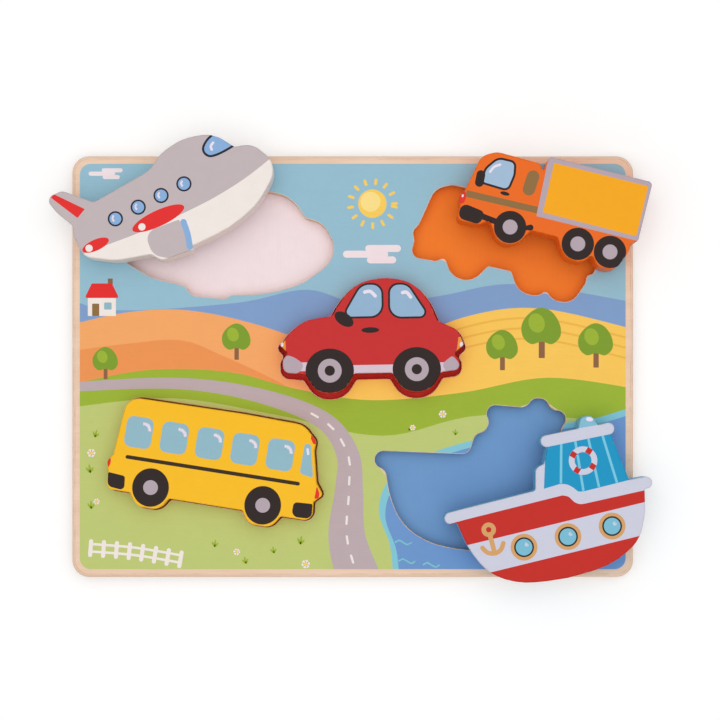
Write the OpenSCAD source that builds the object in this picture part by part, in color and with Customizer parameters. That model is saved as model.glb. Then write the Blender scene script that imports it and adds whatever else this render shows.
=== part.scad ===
// Transport lift-out puzzle: a plywood tray with five shaped pockets, and five
// thick wooden vehicles. The car and the bus sit in their pockets. The plane,
// the truck and the boat lie on the face of the tray, beside their pockets.
// The origin is the middle of the tray's underside, and +Y is the top of the picture.

/* [Board] */
// Length of the tray
board_length = 300; // [250:1:340]
// Width of the tray
board_width = 225; // [190:1:260]
// Radius of the tray's corners
board_corner = 9; // [2:0.5:14]
// Thickness of the front board, which is the depth of the pockets
front_thickness = 7; // [5:0.5:10]
// Thickness of the back board, which is the floor of the pockets
back_thickness = 3; // [2:0.5:6]

/* [Fit] */
// Thickness of each vehicle
vehicle_thickness = 18; // [12:0.5:25]
// Gap all round the plane in its pocket
plane_pocket_gap = 1.3; // [0.8:0.1:2]
// Gap all round the truck in its pocket
truck_pocket_gap = 1.2; // [0.8:0.1:2]
// Gap all round the car in its pocket
car_pocket_gap = 1.6; // [1:0.1:2]
// Gap all round the bus in its pocket, which is the closest fit
bus_pocket_gap = 0.8; // [0.5:0.1:1.5]
// Gap all round the boat in its pocket
boat_pocket_gap = 1.5; // [0.8:0.1:2]
// Gap that is left above the car, which lies pushed up in its pocket
car_top_gap = 0.3; // [0.3:0.1:0.9]
// Radius to which a pocket is blended over the notches of its vehicle
pocket_blend = 2.2; // [1.6:0.1:4]
// The same for the boat, whose pocket runs smoothly past its rail and roof
boat_pocket_blend = 5.5; // [2:0.5:8]

/* [Plane] */
// Nose of the plane, ahead of the middle of its windows
plane_nose = 67; // [64:0.5:70]
// Tail of the plane, behind the middle of its windows
plane_tail = 44; // [42:0.5:46]
// Height of the plane's back above its windows
plane_back = 13.5; // [11.5:0.5:15.5]
// Height of the crown of the cockpit above the windows
plane_crown = 22; // [20:0.5:24]
// Height of the fin above the windows
plane_fin = 26.5; // [24:0.5:29]
// Depth of the belly below the windows
plane_belly = 31.5; // [30:0.5:33]
// Depth of the engine below the windows
plane_engine = 32.8; // [32.4:0.1:34]
// Rise of the belly towards the tail
plane_tail_rise = 12; // [10:0.5:14]
// Back end of the engine, behind the middle of the windows
plane_engine_back = 12; // [11:0.5:13]
// Front end of the engine, ahead of the middle of the windows
plane_engine_front = 9.8; // [9:0.2:11]
// Length of the nose ahead of the windscreen
plane_windscreen = 14.4; // [13:0.2:16]
// Front end of the crown, ahead of the middle of the windows
plane_crown_front = 43; // [41:0.5:45]
// Back end of the crown, ahead of the middle of the windows
plane_crown_back = 30; // [28:0.5:32]
// Foot of the fin's leading edge, behind the middle of the windows
plane_fin_foot = 26.5; // [25:0.5:28]
// Head of the fin's leading edge, behind the middle of the windows
plane_fin_head = 38.5; // [37:0.5:40]

/* [Truck] */
// Distance from the front wheel of the truck to its last wheel
truck_wheelbase = 54; // [52:0.5:58]
// Distance between the two rear wheels of the truck
truck_axle_gap = 17.4; // [17:0.1:19]
// Radius of the truck's wheels
truck_wheel = 9; // [8:0.25:9.5]
// Front of the truck's bumper, ahead of the middle of the wheelbase
truck_front = 55.5; // [54:0.5:58]
// Height of the cab above the wheel centres
truck_cab = 36.8; // [34:0.2:38]
// Tail of the load bed, behind the middle of the wheelbase
truck_tail = 40; // [39:0.5:43]
// Height of the load bed above the wheel centres
truck_bed = 41; // [39:0.5:44]
// Height of the underside of the chassis above the wheel centres
truck_chassis = 1; // [0.5:0.1:1.6]

/* [Car] */
// Distance between the car's wheel centres
car_wheelbase = 46; // [44:0.5:48]
// Radius of the car's wheels
car_wheel = 12; // [11:0.25:12.5]
// Front of the car's bumper, ahead of the middle of the wheelbase
car_front = 47.8; // [46.5:0.2:50]
// Back of the car's bumper, behind the middle of the wheelbase
car_back = 45.6; // [44.5:0.2:48]
// Height of the car's roof above the wheel centres
car_roof = 49.2; // [47:0.2:51]
// Depth of the sill below the wheel centres
car_sill = 1.6; // [1:0.1:2.5]

/* [Bus] */
// Distance between the bus's wheel centres
bus_wheelbase = 60; // [57:0.5:63]
// Radius of the bus's wheels
bus_wheel = 11; // [9.5:0.25:11.5]
// Front of the bus's bumper, ahead of the middle of the wheelbase
bus_front = 57.4; // [55:0.2:60]
// Back of the bus's bumper, behind the middle of the wheelbase
bus_back = 53.5; // [52:0.5:56]
// Height of the bus's roof above the wheel centres
bus_roof = 46.2; // [44:0.2:48]
// Depth of the chassis below the wheel centres
bus_chassis = 4.3; // [3:0.1:5.5]

/* [Boat] */
// Bow end of the boat's rail, ahead of the middle porthole
boat_bow = 60.8; // [60:0.2:63]
// Stern end of the boat's rail, behind the middle porthole
boat_stern = 49.8; // [48:0.2:52]
// Height of the top of the rail above the portholes
boat_rail = 27; // [26:0.5:29]
// Thickness of the rail
boat_rail_thickness = 6.2; // [5:0.2:7]
// Height of the cabin roof above the portholes
boat_roof = 54; // [52:0.5:56]
// Thickness of the cabin roof
boat_roof_thickness = 6.2; // [5:0.2:7]
// Height of the lamp dome on the cabin roof
boat_dome = 5.4; // [3:0.2:7]
// Depth of the keel below the portholes
boat_keel = 21.6; // [20:0.2:23]

/* [Places] */
// Plane on the tray: middle to right, as a share of half the tray's length
plane_across = -0.709; // [-0.729:0.001:-0.689]
// Plane on the tray: middle to top, as a share of half the tray's width
plane_up = 0.763; // [0.743:0.001:0.783]
// Plane on the tray: turn in degrees
plane_turn = 27; // [22.0:0.1:32.0]
// Pocket of the plane: middle to right, as a share of half the tray's length
plane_pocket_across = -0.522; // [-0.532:0.001:-0.512]
// Pocket of the plane: middle to top, as a share of half the tray's width
plane_pocket_up = 0.62; // [0.610:0.001:0.630]
// Pocket of the plane: turn in degrees
plane_pocket_turn = 3; // [2.2:0.1:3.8]
// Truck on the tray: middle to right, as a share of half the tray's length
truck_across = 0.726; // [0.706:0.001:0.746]
// Truck on the tray: middle to top, as a share of half the tray's width
truck_up = 0.586; // [0.566:0.001:0.606]
// Truck on the tray: turn in degrees
truck_turn = -14; // [-19.0:0.1:-9.0]
// Pocket of the truck: middle to right, as a share of half the tray's length
truck_pocket_across = 0.58; // [0.570:0.001:0.590]
// Pocket of the truck: middle to top, as a share of half the tray's width
truck_pocket_up = 0.45; // [0.440:0.001:0.460]
// Pocket of the truck: turn in degrees
truck_pocket_turn = -12.7; // [-13.5:0.1:-11.9]
// Car in its pocket: middle to right, as a share of half the tray's length
car_across = 0.073; // [0.063:0.001:0.083]
// Car in its pocket: middle to top, as a share of half the tray's width
car_up = -0.02; // [-0.030:0.001:-0.010]
// Car in its pocket: turn in degrees
car_turn = 1; // [0.2:0.1:1.8]
// Bus in its pocket: middle to right, as a share of half the tray's length
bus_across = -0.514; // [-0.524:0.001:-0.504]
// Bus in its pocket: middle to top, as a share of half the tray's width
bus_up = -0.614; // [-0.624:0.001:-0.604]
// Bus in its pocket: turn in degrees
bus_turn = -9; // [-9.8:0.1:-8.2]
// Boat on the tray: middle to right, as a share of half the tray's length
boat_across = 0.754; // [0.734:0.001:0.774]
// Boat on the tray: middle to top, as a share of half the tray's width
boat_up = -0.801; // [-0.821:0.001:-0.781]
// Boat on the tray: turn in degrees
boat_turn = 13.5; // [8.5:0.1:18.5]
// Pocket of the boat: middle to right, as a share of half the tray's length
boat_pocket_across = 0.485; // [0.475:0.001:0.495]
// Pocket of the boat: middle to top, as a share of half the tray's width
boat_pocket_up = -0.681; // [-0.691:0.001:-0.671]
// Pocket of the boat: turn in degrees
boat_pocket_turn = -3; // [-3.8:0.1:-2.2]

/* [Hidden] */
face_height = back_thickness + front_thickness;
car_push = car_pocket_gap - car_top_gap;
// Largest turn between two points of an arc, in degrees
arc_step = 8;
// Largest share of an edge that the arc at one of its ends takes
arc_share = 0.49;
// Facets of the tray's round corners
round_facets = 64;
// Facets of a whole turn where a pocket is blended over a notch
blend_facets = 40;
// Fillet where a wheel meets a chassis
wheel_fillet = 1.5;
// Steepness of the outline where it leaves a wheel, in degrees
wheel_flank = 58;

function unit(v) = v / norm(v);
function flat(corner) = [corner.x, corner.y];
function turned(v, angle) = [v.x * cos(angle) - v.y * sin(angle), v.x * sin(angle) + v.y * cos(angle)];

// Arc that rounds the corner b between its neighbours a and c; b.z is its radius
function corner_arc(a, b, c) =
  let(
    back = flat(a) - flat(b),
    ahead = flat(c) - flat(b),
    half = acos(unit(back) * unit(ahead)) / 2,
    reach = min(b.z / tan(half), arc_share * norm(back), arc_share * norm(ahead)),
    centre = flat(b) + unit(unit(back) + unit(ahead)) * reach / cos(half),
    start = flat(b) + unit(back) * reach - centre,
    sweep = sign(cross(ahead, back)) * (180 - 2 * half),
    steps = max(2, ceil(abs(sweep) / arc_step))
  )
  [for (step = [0:steps]) centre + turned(start, sweep * step / steps)];

// Points of an outline, given as [across, up, radius] corners anticlockwise
function rounded(corners) =
  let(count = len(corners))
  [
    for (i = [0:count - 1])
      each corner_arc(corners[(i + count - 1) % count], corners[i], corners[(i + 1) % count])
  ];

// Where the outline of a wheel leaves its circle, and how far out it meets a chassis
function wheel_half(radius) = radius * tan(wheel_flank / 2);
function wheel_foot(radius, chassis) =
  radius * sin(wheel_flank) + (chassis + radius * cos(wheel_flank)) / tan(wheel_flank);

// The two low corners of a wheel, and the whole wheel with its feet on a chassis line
function wheel_tread(across, radius) =
  [[across - wheel_half(radius), -radius, radius], [across + wheel_half(radius), -radius, radius]];
function wheel(across, radius, chassis) =
  concat(
    [[across - wheel_foot(radius, chassis), chassis, wheel_fillet]],
    wheel_tread(across, radius),
    [[across + wheel_foot(radius, chassis), chassis, wheel_fillet]]
  );

// Round end of a bar: going up it is a right-hand end, going down a left-hand one
function bar_end(edge, from, to) =
  let(
    way = sign(to - from),
    radius = abs(to - from) / 2,
    cut = radius * (2 - sqrt(2))
  )
  [
    [edge - way * cut, from, radius],
    [edge, from + way * cut, radius],
    [edge, to - way * cut, radius],
    [edge - way * cut, to, radius],
  ];

// Belly from tail to nose, then nose, cockpit, back and fin
plane_corners = [
  [-plane_tail, -10, 7],
  [14 - plane_tail, plane_tail_rise - plane_belly, 25],
  [-plane_engine_back, 6.6 - plane_belly, 2],
  [3.6 - plane_engine_back, 2.4 - plane_engine, 5],
  [plane_engine_front - 1, -plane_engine, 1.2],
  [plane_engine_front, 0.7 - plane_belly, 1],
  [plane_nose - 36, -plane_belly, 60],
  [plane_nose - 17, 4.7 - plane_belly, 35],
  [plane_nose - 2.6, -17, 14],
  [plane_nose, -9, 10],
  [plane_nose - 5.2, 2.6, 11],
  [plane_nose - plane_windscreen, 5.6, 1.5],
  [plane_crown_front + 5, plane_crown - 8.7, 9],
  [plane_crown_front, plane_crown - 4, 14],
  [plane_crown_back, plane_crown, 30],
  [plane_crown_back - 14, plane_crown - 2.1, 18],
  [7.5, plane_back + 1.2, 16],
  [-plane_fin_foot, plane_back - 0.4, 4],
  [-plane_fin_head, plane_fin - 0.4, 5],
  [-plane_tail - 4.2, plane_fin, 3.5],
  [-plane_tail - 2.2, 17, 12],
  [2.2 - plane_tail, 7, 3],
  [-plane_tail, 1.5, 5],
];

truck_rear = truck_wheelbase / 2;
truck_middle = truck_rear - truck_axle_gap;
truck_notch = (truck_axle_gap / 2 - truck_wheel * sin(wheel_flank)) * tan(wheel_flank)
  - truck_wheel * cos(wheel_flank);

// Bumper, wheels, load bed, cab and lamp
truck_corners = concat(
  [[-truck_front, -3.2, 4.5], [12.5 - truck_front, -2.6, 4]],
  wheel(-truck_wheelbase / 2, truck_wheel, truck_chassis),
  [[truck_middle - wheel_foot(truck_wheel, truck_chassis), truck_chassis, wheel_fillet]],
  wheel_tread(truck_middle, truck_wheel),
  [[truck_middle + truck_axle_gap / 2, truck_notch, wheel_fillet]],
  wheel_tread(truck_rear, truck_wheel),
  [
    [truck_rear + truck_wheel + 0.6, 2.6, 3],
    [truck_rear + truck_wheel + 0.4, 7.6, wheel_fillet],
    [truck_tail, 8.6, 3],
    [truck_tail, truck_bed, 2.2],
    [-15.8, truck_bed, 1.8],
    [-17.2, truck_cab - 5, 1.2],
    [-19.6, truck_cab - 0.5, 3],
    [-43, truck_cab, 9],
    [-50.6, truck_cab - 4, 8],
    [0.9 - truck_front, 13.2, 3],
    [-truck_front - 1.5, 9, 2.6],
    [0.5 - truck_front, 4.2, 2],
  ]
);

// Wheels and sill, rear lamp, roof, bonnet and headlamp
car_corners = concat(
  [[-car_front, 1 - car_sill, 4.5]],
  wheel(-car_wheelbase / 2, car_wheel, -car_sill),
  wheel(car_wheelbase / 2, car_wheel, -car_sill),
  [
    [car_back, 1 - car_sill, 3.5],
    [car_back, 5, 2.5],
    [car_back - 3.2, 7.8, 1.5],
    [car_back + 2.6, 12.6, 1.6],
    [car_back - 0.4, 20.4, 7],
    [car_back - 11.2, 25.4, 4],
    [29.6, car_roof - 11.6, 28],
    [20.5, car_roof - 2.6, 20],
    [5.5, car_roof, 32],
    [-8, car_roof - 3.4, 20],
    [-16, car_roof - 11.4, 36],
    [-21.2, 29, 3],
    [-36, 26.8, 18],
    [-44, 20.4, 15],
    [1 - car_front, 16, 2],
    [-car_front - 1.8, 14.4, 1.4],
    [2.7 - car_front, 9.9, 1.4],
    [-car_front, 6, 2.5],
  ]
);

// Wheels and chassis, headlamp, windscreen, roof and tail lamp
bus_corners = concat(
  [[-bus_back, -bus_chassis, 4]],
  wheel(-bus_wheelbase / 2, bus_wheel, -bus_chassis),
  wheel(bus_wheelbase / 2, bus_wheel, -bus_chassis),
  [
    [bus_front - 0.2, -bus_chassis, 5],
    [bus_front - 1.3, 5.8, 1.4],
    [bus_front + 3.2, 10.2, 2],
    [bus_front - 1.2, 16, 4],
    [bus_front - 5, 32.6, 3],
    [bus_front - 4.7, 38, 4],
    [bus_front - 12.8, bus_roof - 0.8, 10],
    [12, bus_roof, 150],
    [4 - bus_back, bus_roof - 0.6, 8],
    [1.3 - bus_back, 14.4, 2],
    [-bus_back - 1.3, 10.2, 1.8],
    [0.1 - bus_back, 4.6, 2],
  ]
);

boat_rail_low = boat_rail - boat_rail_thickness;
boat_roof_low = boat_roof - boat_roof_thickness;
// The stern end of the rail lies lower than its bow end by this much
boat_rail_drop = 5.8;
// The roof rises by this much towards the bow, and falls by it towards the stern
boat_roof_tilt = 0.6;
boat_rail_stern = boat_rail - boat_rail_drop;

// Bow end of the rail, hull, stern end of the rail, cabin, roof, dome and post
boat_corners = [
  each bar_end(-boat_bow, boat_rail, boat_rail_low),
  [5.8 - boat_bow, boat_rail_low, 0.8],
  [8.8 - boat_bow, 4.6, 60],
  [-44.4, 11.8 - boat_keel, 30],
  [-30, 3.4 - boat_keel, 40],
  [-5, -boat_keel, 100],
  [20, 2.2 - boat_keel, 44],
  [boat_stern - 13.4, 11 - boat_keel, 21],
  [boat_stern - 7.3, 3, 25],
  [boat_stern - 4.8, boat_rail_stern - boat_rail_thickness, 0.8],
  each bar_end(boat_stern, boat_rail_stern - boat_rail_thickness, boat_rail_stern),
  [38.2, boat_rail_stern + 0.4, 1],
  [34.4, boat_roof_low - boat_roof_tilt, 0.8],
  each bar_end(37, boat_roof_low - boat_roof_tilt, boat_roof - boat_roof_tilt),
  [29, boat_roof - boat_roof_tilt, 1],
  [26.8, boat_roof + boat_dome, 3.4],
  [20.8, boat_roof + boat_dome, 3.4],
  [18.6, boat_roof, 1],
  each bar_end(-2.3, boat_roof + boat_roof_tilt, boat_roof_low + boat_roof_tilt),
  [0.5, boat_roof_low + boat_roof_tilt, 0.8],
  [-3.2, boat_rail + 13.2, 1.5],
  [-8.2, boat_rail + 12, 4],
  [-10.9, boat_rail + 0.6, 1.5],
];

// Place on the tray as [across, up, turn], from shares of its half length and half width
function spot(across, up, turn) = [across * board_length / 2, up * board_width / 2, turn];

plane_place = spot(plane_across, plane_up, plane_turn);
plane_pocket = spot(plane_pocket_across, plane_pocket_up, plane_pocket_turn);
truck_place = spot(truck_across, truck_up, truck_turn);
truck_pocket = spot(truck_pocket_across, truck_pocket_up, truck_pocket_turn);
car_place = spot(car_across, car_up, car_turn);
car_pocket = car_place - [0, car_push, 0];
bus_place = spot(bus_across, bus_up, bus_turn);
boat_place = spot(boat_across, boat_up, boat_turn);
boat_pocket = spot(boat_pocket_across, boat_pocket_up, boat_pocket_turn);

module place(spot) {
  translate([spot[0], spot[1], 0])
    rotate(spot[2])
      children();
}

module board_plan() {
  square([board_length - 2 * board_corner, board_width], center = true);
  square([board_length, board_width - 2 * board_corner], center = true);
  for (side = [-1, 1], end = [-1, 1])
    translate([end * (board_length / 2 - board_corner), side * (board_width / 2 - board_corner)])
      circle(board_corner, $fn = round_facets);
}

module pocket_plan(spot, corners, gap, blend = pocket_blend) {
  place(spot)
    offset(r = -blend, $fn = blend_facets)
      offset(delta = blend + gap)
        polygon(rounded(corners));
}

module vehicle(spot, corners, floor_height) {
  translate([0, 0, floor_height])
    place(spot)
      linear_extrude(vehicle_thickness)
        polygon(rounded(corners));
}

module front_board() {
  color("burlywood")
    translate([0, 0, back_thickness])
      linear_extrude(front_thickness)
        difference() {
          board_plan();
          pocket_plan(plane_pocket, plane_corners, plane_pocket_gap);
          pocket_plan(truck_pocket, truck_corners, truck_pocket_gap);
          pocket_plan(car_pocket, car_corners, car_pocket_gap);
          pocket_plan(bus_place, bus_corners, bus_pocket_gap);
          pocket_plan(boat_pocket, boat_corners, boat_pocket_gap, boat_pocket_blend);
        }
}

module back_board() {
  color("wheat")
    linear_extrude(back_thickness)
      board_plan();
}

module plane() {
  color("gainsboro")
    vehicle(plane_place, plane_corners, face_height);
}

module truck() {
  color("darkorange")
    vehicle(truck_place, truck_corners, face_height);
}

module car() {
  color("firebrick")
    vehicle(car_place, car_corners, back_thickness);
}

module bus() {
  color("gold")
    vehicle(bus_place, bus_corners, back_thickness);
}

module boat() {
  color("skyblue")
    vehicle(boat_place, boat_corners, face_height);
}

front_board();
back_board();
plane();
truck();
car();
bus();
boat();
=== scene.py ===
"""Looks of a lift-out vehicle puzzle: a printed plywood tray and five thick painted vehicles.

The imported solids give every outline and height. This script eases their edges, prints their faces and
dresses them. Plans are drawn in millimetres, and meshes are written in metres.
"""

import logging
import math
from dataclasses import dataclass, field
from enum import Enum
from typing import Iterable, Sequence, Union

import bmesh
import bpy
import numpy as np
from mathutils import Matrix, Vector
from mathutils.geometry import delaunay_2d_cdt, tessellate_polygon


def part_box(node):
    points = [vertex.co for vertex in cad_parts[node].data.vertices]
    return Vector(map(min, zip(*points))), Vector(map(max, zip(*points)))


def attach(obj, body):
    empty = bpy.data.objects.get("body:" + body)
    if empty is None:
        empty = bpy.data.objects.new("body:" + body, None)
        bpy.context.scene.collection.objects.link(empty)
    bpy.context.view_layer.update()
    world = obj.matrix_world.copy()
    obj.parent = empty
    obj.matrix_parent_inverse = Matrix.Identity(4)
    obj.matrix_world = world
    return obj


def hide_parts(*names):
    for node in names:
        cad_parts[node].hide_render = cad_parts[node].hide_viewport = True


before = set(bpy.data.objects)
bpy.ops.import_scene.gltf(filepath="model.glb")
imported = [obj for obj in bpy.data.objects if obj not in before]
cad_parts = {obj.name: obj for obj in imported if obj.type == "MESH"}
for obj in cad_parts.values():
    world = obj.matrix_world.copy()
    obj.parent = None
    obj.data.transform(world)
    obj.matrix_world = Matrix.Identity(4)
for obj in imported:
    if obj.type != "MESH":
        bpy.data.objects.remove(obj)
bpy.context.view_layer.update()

MM = 0.001
PHOTO_SIDE = 720
# Degrees in one stretch of an arc and of a line's round end, and rows along an eased corner
ARC_STEP = 8.0
CAP_STEP = 15
EASE_STEPS = 4
# Largest share of an edge that a corner's arc takes up, and least spread of a moved corner
ARC_SHARE = 0.49
LEAST_SPREAD = 0.3
# In millimetres: thickness of a film of ink, gap between points that are one, and drop that counts as flat
FILM = 0.05
WELD = 1e-3
FLAT = 1e-3
# In metres: gap between corners of a finished mesh that are one
SAME_PLACE = 1e-6
# Of all finishes: mirror light, and height of the relief in metres
MIRROR = 0.14
RELIEF_HEIGHT = 0.0002
BLACK_LIGHT = (0.0, 0.0, 0.0, 1.0)
WHITE_LIGHT = (1.0, 1.0, 1.0, 1.0)

Point = tuple[float, float]
Corner = tuple[float, float, float]
Shade = tuple[float, float, float, float]
Loop = list[Point]

log = logging.getLogger("puzzle")


class Ink(Enum):
    """Colours of the print and the paint, as they look in daylight, except for painted light: the car's
    walls, the bus's walls and the pocket floors of the truck, the car and the bus are inked lighter than
    their paint to stand in for light that the narrow gaps lose. BIRCH is bare wood.
    """

    BIRCH = (243, 211, 187)
    SKY = (150, 192, 210)
    CLOUD = (244, 228, 232)
    SUN = (252, 208, 92)
    SUN_PALE = (254, 226, 140)
    FAR_HILL = (128, 160, 204)
    WHEAT = (252, 202, 90)
    FURROW = (240, 184, 74)
    CLAY = (247, 170, 103)
    CLAY_DARK = (240, 150, 84)
    GRASS = (156, 182, 52)
    GRASS_DARK = (126, 158, 44)
    MEADOW = (192, 204, 120)
    ROAD = (190, 172, 176)
    ROAD_LINE = (240, 232, 228)
    WATER = (110, 152, 206)
    WATER_PALE = (132, 200, 216)
    TRUNK = (142, 98, 66)
    GREY = (196, 182, 184)
    CREAM = (244, 234, 228)
    WING = (230, 43, 42)
    NAVY = (28, 30, 46)
    GLASS = (138, 176, 220)
    GLASS_CAR = (148, 180, 208)
    GLASS_TRUCK = (164, 190, 216)
    GLASS_BUS = (146, 186, 200)
    GLINT = (236, 226, 240)
    GLINT_SEA = (192, 216, 238)
    ORANGE = (238, 107, 26)
    # Truck pocket floor: real orange print, inked lighter than the truck's orange to stand in for light that
    # the pocket's shade takes away (painted light).
    ORANGE_FLOOR_PAINTED_LIGHT = (244, 128, 38)
    LOAD = (249, 170, 20)
    LILAC = (184, 166, 176)
    HUB = (182, 165, 174)
    BLACK = (36, 23, 20)
    STRIPE = (48, 32, 8)
    BROWN = (144, 108, 62)
    RED = (200, 43, 43)
    # Car walls and car pocket floor: real red paint and print, inked lighter than RED to stand in for light
    # in the narrow gap round the car (painted light).
    RED_SIDE_PAINTED_LIGHT = (226, 50, 44)
    RED_FLOOR_PAINTED_LIGHT = (250, 66, 52)
    SILL = (217, 195, 209)
    LAMP = (228, 50, 36)
    AMBER = (240, 150, 50)
    YELLOW = (251, 191, 30)
    # Bus walls and bus pocket floor: real yellow-orange paint, inked lighter to stand in for light in the
    # narrow gap round the bus (painted light).
    YELLOW_SIDE_PAINTED_LIGHT = (246, 178, 56)
    HULL_RED = (197, 40, 30)
    HULL_WHITE = (207, 208, 225)
    CABIN = (18, 149, 196)
    PLANK = (122, 200, 226)
    DOME = (131, 188, 211)
    GOLD = (215, 162, 103)
    PORTHOLE = (123, 190, 214)
    BOAT_SIDE = (112, 186, 222)
    BOAT_FLOOR = (112, 156, 206)

    @property
    def paint(self) -> Shade:
        """The colour in linear light, with 1 in the last place where it covers the wood.

        Returns:
            Red, green, blue and cover.
        """
        parts = [level / 255 for level in self.value]
        linear = [((c + 0.055) / 1.055) ** 2.4 if c > 0.04045 else c / 12.92 for c in parts]
        return (*linear, 0.0 if self is Ink.BIRCH else 1.0)


class Lie(Enum):
    """Which of a bar's own axes follows its path."""

    ALONG = "X"
    ACROSS = "Y"


class Sprig(Enum):
    """What grows on the meadow."""

    TUFT = "tuft"
    DAISY = "daisy"


# Plans: points, arcs and lines in millimetres


def turned(point: Point, degrees: float) -> Point:
    """The point turned about the origin."""
    c, s = math.cos(math.radians(degrees)), math.sin(math.radians(degrees))
    return point[0] * c - point[1] * s, point[0] * s + point[1] * c


def rounded(corners: Sequence[Corner]) -> Loop:
    """Outline with an arc at each corner.

    Args:
        corners: (across, up, radius) of each corner, anticlockwise.

    Returns:
        The points of the outline.
    """
    points: Loop = []
    for i, (x, y, radius) in enumerate(corners):
        here = Vector((x, y))
        back = Vector(corners[i - 1][:2]) - here
        ahead = Vector(corners[(i + 1) % len(corners)][:2]) - here
        half = back.angle(ahead) / 2
        reach = min(radius / math.tan(half), ARC_SHARE * back.length, ARC_SHARE * ahead.length)
        if reach < 1e-6:
            points.append((x, y))
            continue
        centre = here + (back.normalized() + ahead.normalized()).normalized() * (reach / math.cos(half))
        start = here + back.normalized() * reach - centre
        sweep = math.copysign(180 - 2 * math.degrees(half), ahead.cross(back))
        steps = max(2, math.ceil(abs(sweep) / ARC_STEP))
        for step in range(steps + 1):
            x_arc, y_arc = turned((start.x, start.y), sweep * step / steps)
            points.append((centre.x + x_arc, centre.y + y_arc))
    return points


def grown(corners: Sequence[Corner], gap: float) -> list[Corner]:
    """The same corners with each edge moved out by gap, and each radius to suit."""
    plan = moved_aside([corner[:2] for corner in corners], -gap)
    return [(x, y, corner[2] + gap) for (x, y), corner in zip(plan, corners)]


def box_corners(low: Point, high: Point, radius: float = 0.0) -> list[Corner]:
    """Corners of an upright rectangle."""
    (left, bottom), (right, top) = low, high
    return [(left, bottom, radius), (right, bottom, radius), (right, top, radius), (left, top, radius)]


def ellipse(centre: Point, across: float, up: float, turn: float = 0.0) -> Loop:
    """Ellipse about a centre.

    Args:
        centre: The middle.
        across: Half its width.
        up: Half its height.
        turn: Its turn in degrees.

    Returns:
        The points of the outline.
    """
    count = max(16, round(360 / ARC_STEP))
    loop = []
    for step in range(count):
        angle = 2 * math.pi * step / count
        x, y = turned((across * math.cos(angle), up * math.sin(angle)), turn)
        loop.append((centre[0] + x, centre[1] + y))
    return loop


def smooth(points: Sequence[Point], closed: bool = False, steps: int = 8) -> Loop:
    """Smooth curve through points.

    Args:
        points: The points that the curve passes through.
        closed: Whether the curve runs back to its first point.
        steps: Stretches between two of the points.

    Returns:
        The points of the curve.
    """
    count = len(points)
    spans = count if closed else count - 1
    known = [np.array(p, float) for p in points]
    curve = []
    for i in range(spans):
        places = [j % count if closed else min(max(j, 0), count - 1) for j in range(i - 1, i + 3)]
        a, b, c, d = (known[j] for j in places)
        for step in range(steps):
            t = step / steps
            spot = b + 0.5 * t * (c - a + t * (2 * a - 5 * b + 4 * c - d + t * (3 * (b - c) + d - a)))
            curve.append((float(spot[0]), float(spot[1])))
    return curve if closed else [*curve, tuple(map(float, points[-1]))]


def ribbon(points: Sequence[Point], widths: Sequence[float], round_ends: bool = True) -> Loop:
    """Outline of a line that has a width at each of its points.

    Args:
        points: The line's points.
        widths: The line's width at each of them.
        round_ends: Whether the ends are half circles.

    Returns:
        The outline, anticlockwise.
    """
    line = np.array(points, float)
    run = np.gradient(line, axis=0)
    run /= np.linalg.norm(run, axis=1)[:, None]
    left = np.stack([-run[:, 1], run[:, 0]], 1) * (np.array(widths)[:, None] / 2)
    ends = []
    for spot, side in ((line[-1], -left[-1]), (line[0], left[0])):
        turns = range(CAP_STEP, 180, CAP_STEP) if round_ends else ()
        ends.append([tuple(spot + turned(tuple(side), turn)) for turn in turns])
    right_side, left_side = [tuple(p) for p in line - left], [tuple(p) for p in (line + left)[::-1]]
    return [*right_side, *ends[0], *left_side, *ends[1]]


def stroke(points: Sequence[Point], width: float, round_ends: bool = True) -> Loop:
    """Outline of a line of one width."""
    return ribbon(points, [width] * len(points), round_ends)


def hill(crest: Sequence[Point], foot: float) -> Loop:
    """Outline of ground below a smooth crest, down to a foot."""
    ridge = smooth(crest)
    return [*ridge, (ridge[-1][0], foot), (ridge[0][0], foot)]


def area_of(loop: Sequence[Point]) -> float:
    """Signed area of a loop.

    Args:
        loop: The points of the loop.

    Returns:
        The area, positive where the loop runs anticlockwise.
    """
    plan = np.array(loop)
    after = np.roll(plan, -1, 0)
    return float((plan[:, 0] * after[:, 1] - plan[:, 1] * after[:, 0]).sum() / 2)


def anticlockwise(loop: Loop) -> Loop:
    """The loop, turned round if it runs clockwise."""
    return loop if area_of(loop) > 0 else loop[::-1]


def moved_aside(loop: Sequence[Point], distance: float) -> Loop:
    """Closed loop with each edge moved to its left.

    Args:
        loop: The points of the loop.
        distance: How far its edges move.

    Returns:
        As many points, where the moved edges meet.
    """
    plan = np.array(loop, float)
    run = np.roll(plan, -1, 0) - plan
    run /= np.maximum(np.linalg.norm(run, axis=1), 1e-9)[:, None]
    after = np.stack([-run[:, 1], run[:, 0]], 1)
    before = np.roll(after, 1, 0)
    spread = np.maximum(1 + (before * after).sum(1), LEAST_SPREAD)
    return [tuple(p) for p in plan + distance * (before + after) / spread[:, None]]


def distance_to(points: np.ndarray, loop: Sequence[Point]) -> np.ndarray:
    """Distance from points to a closed loop.

    Args:
        points: The points, one a row.
        loop: The points of the loop.

    Returns:
        The distance from each point to the nearest edge.
    """
    start = np.array(loop, float)
    run = np.roll(start, -1, 0) - start
    span = np.maximum((run**2).sum(1), 1e-12)
    away = points[:, None, :] - start[None]
    share = np.clip((away * run[None]).sum(2) / span[None], 0, 1)
    return np.linalg.norm(away - share[:, :, None] * run[None], axis=2).min(1)


def followed(after: dict) -> list[list]:
    """Closed rows in a table of what follows what.

    Args:
        after: The next point of each point. The table is used up.

    Returns:
        The rows, each from any of its points on.
    """
    rows = []
    while after:
        first, here = after.popitem()
        row = [first]
        while here != first:
            row.append(here)
            here = after.pop(here)
        rows.append(row)
    return rows


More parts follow.
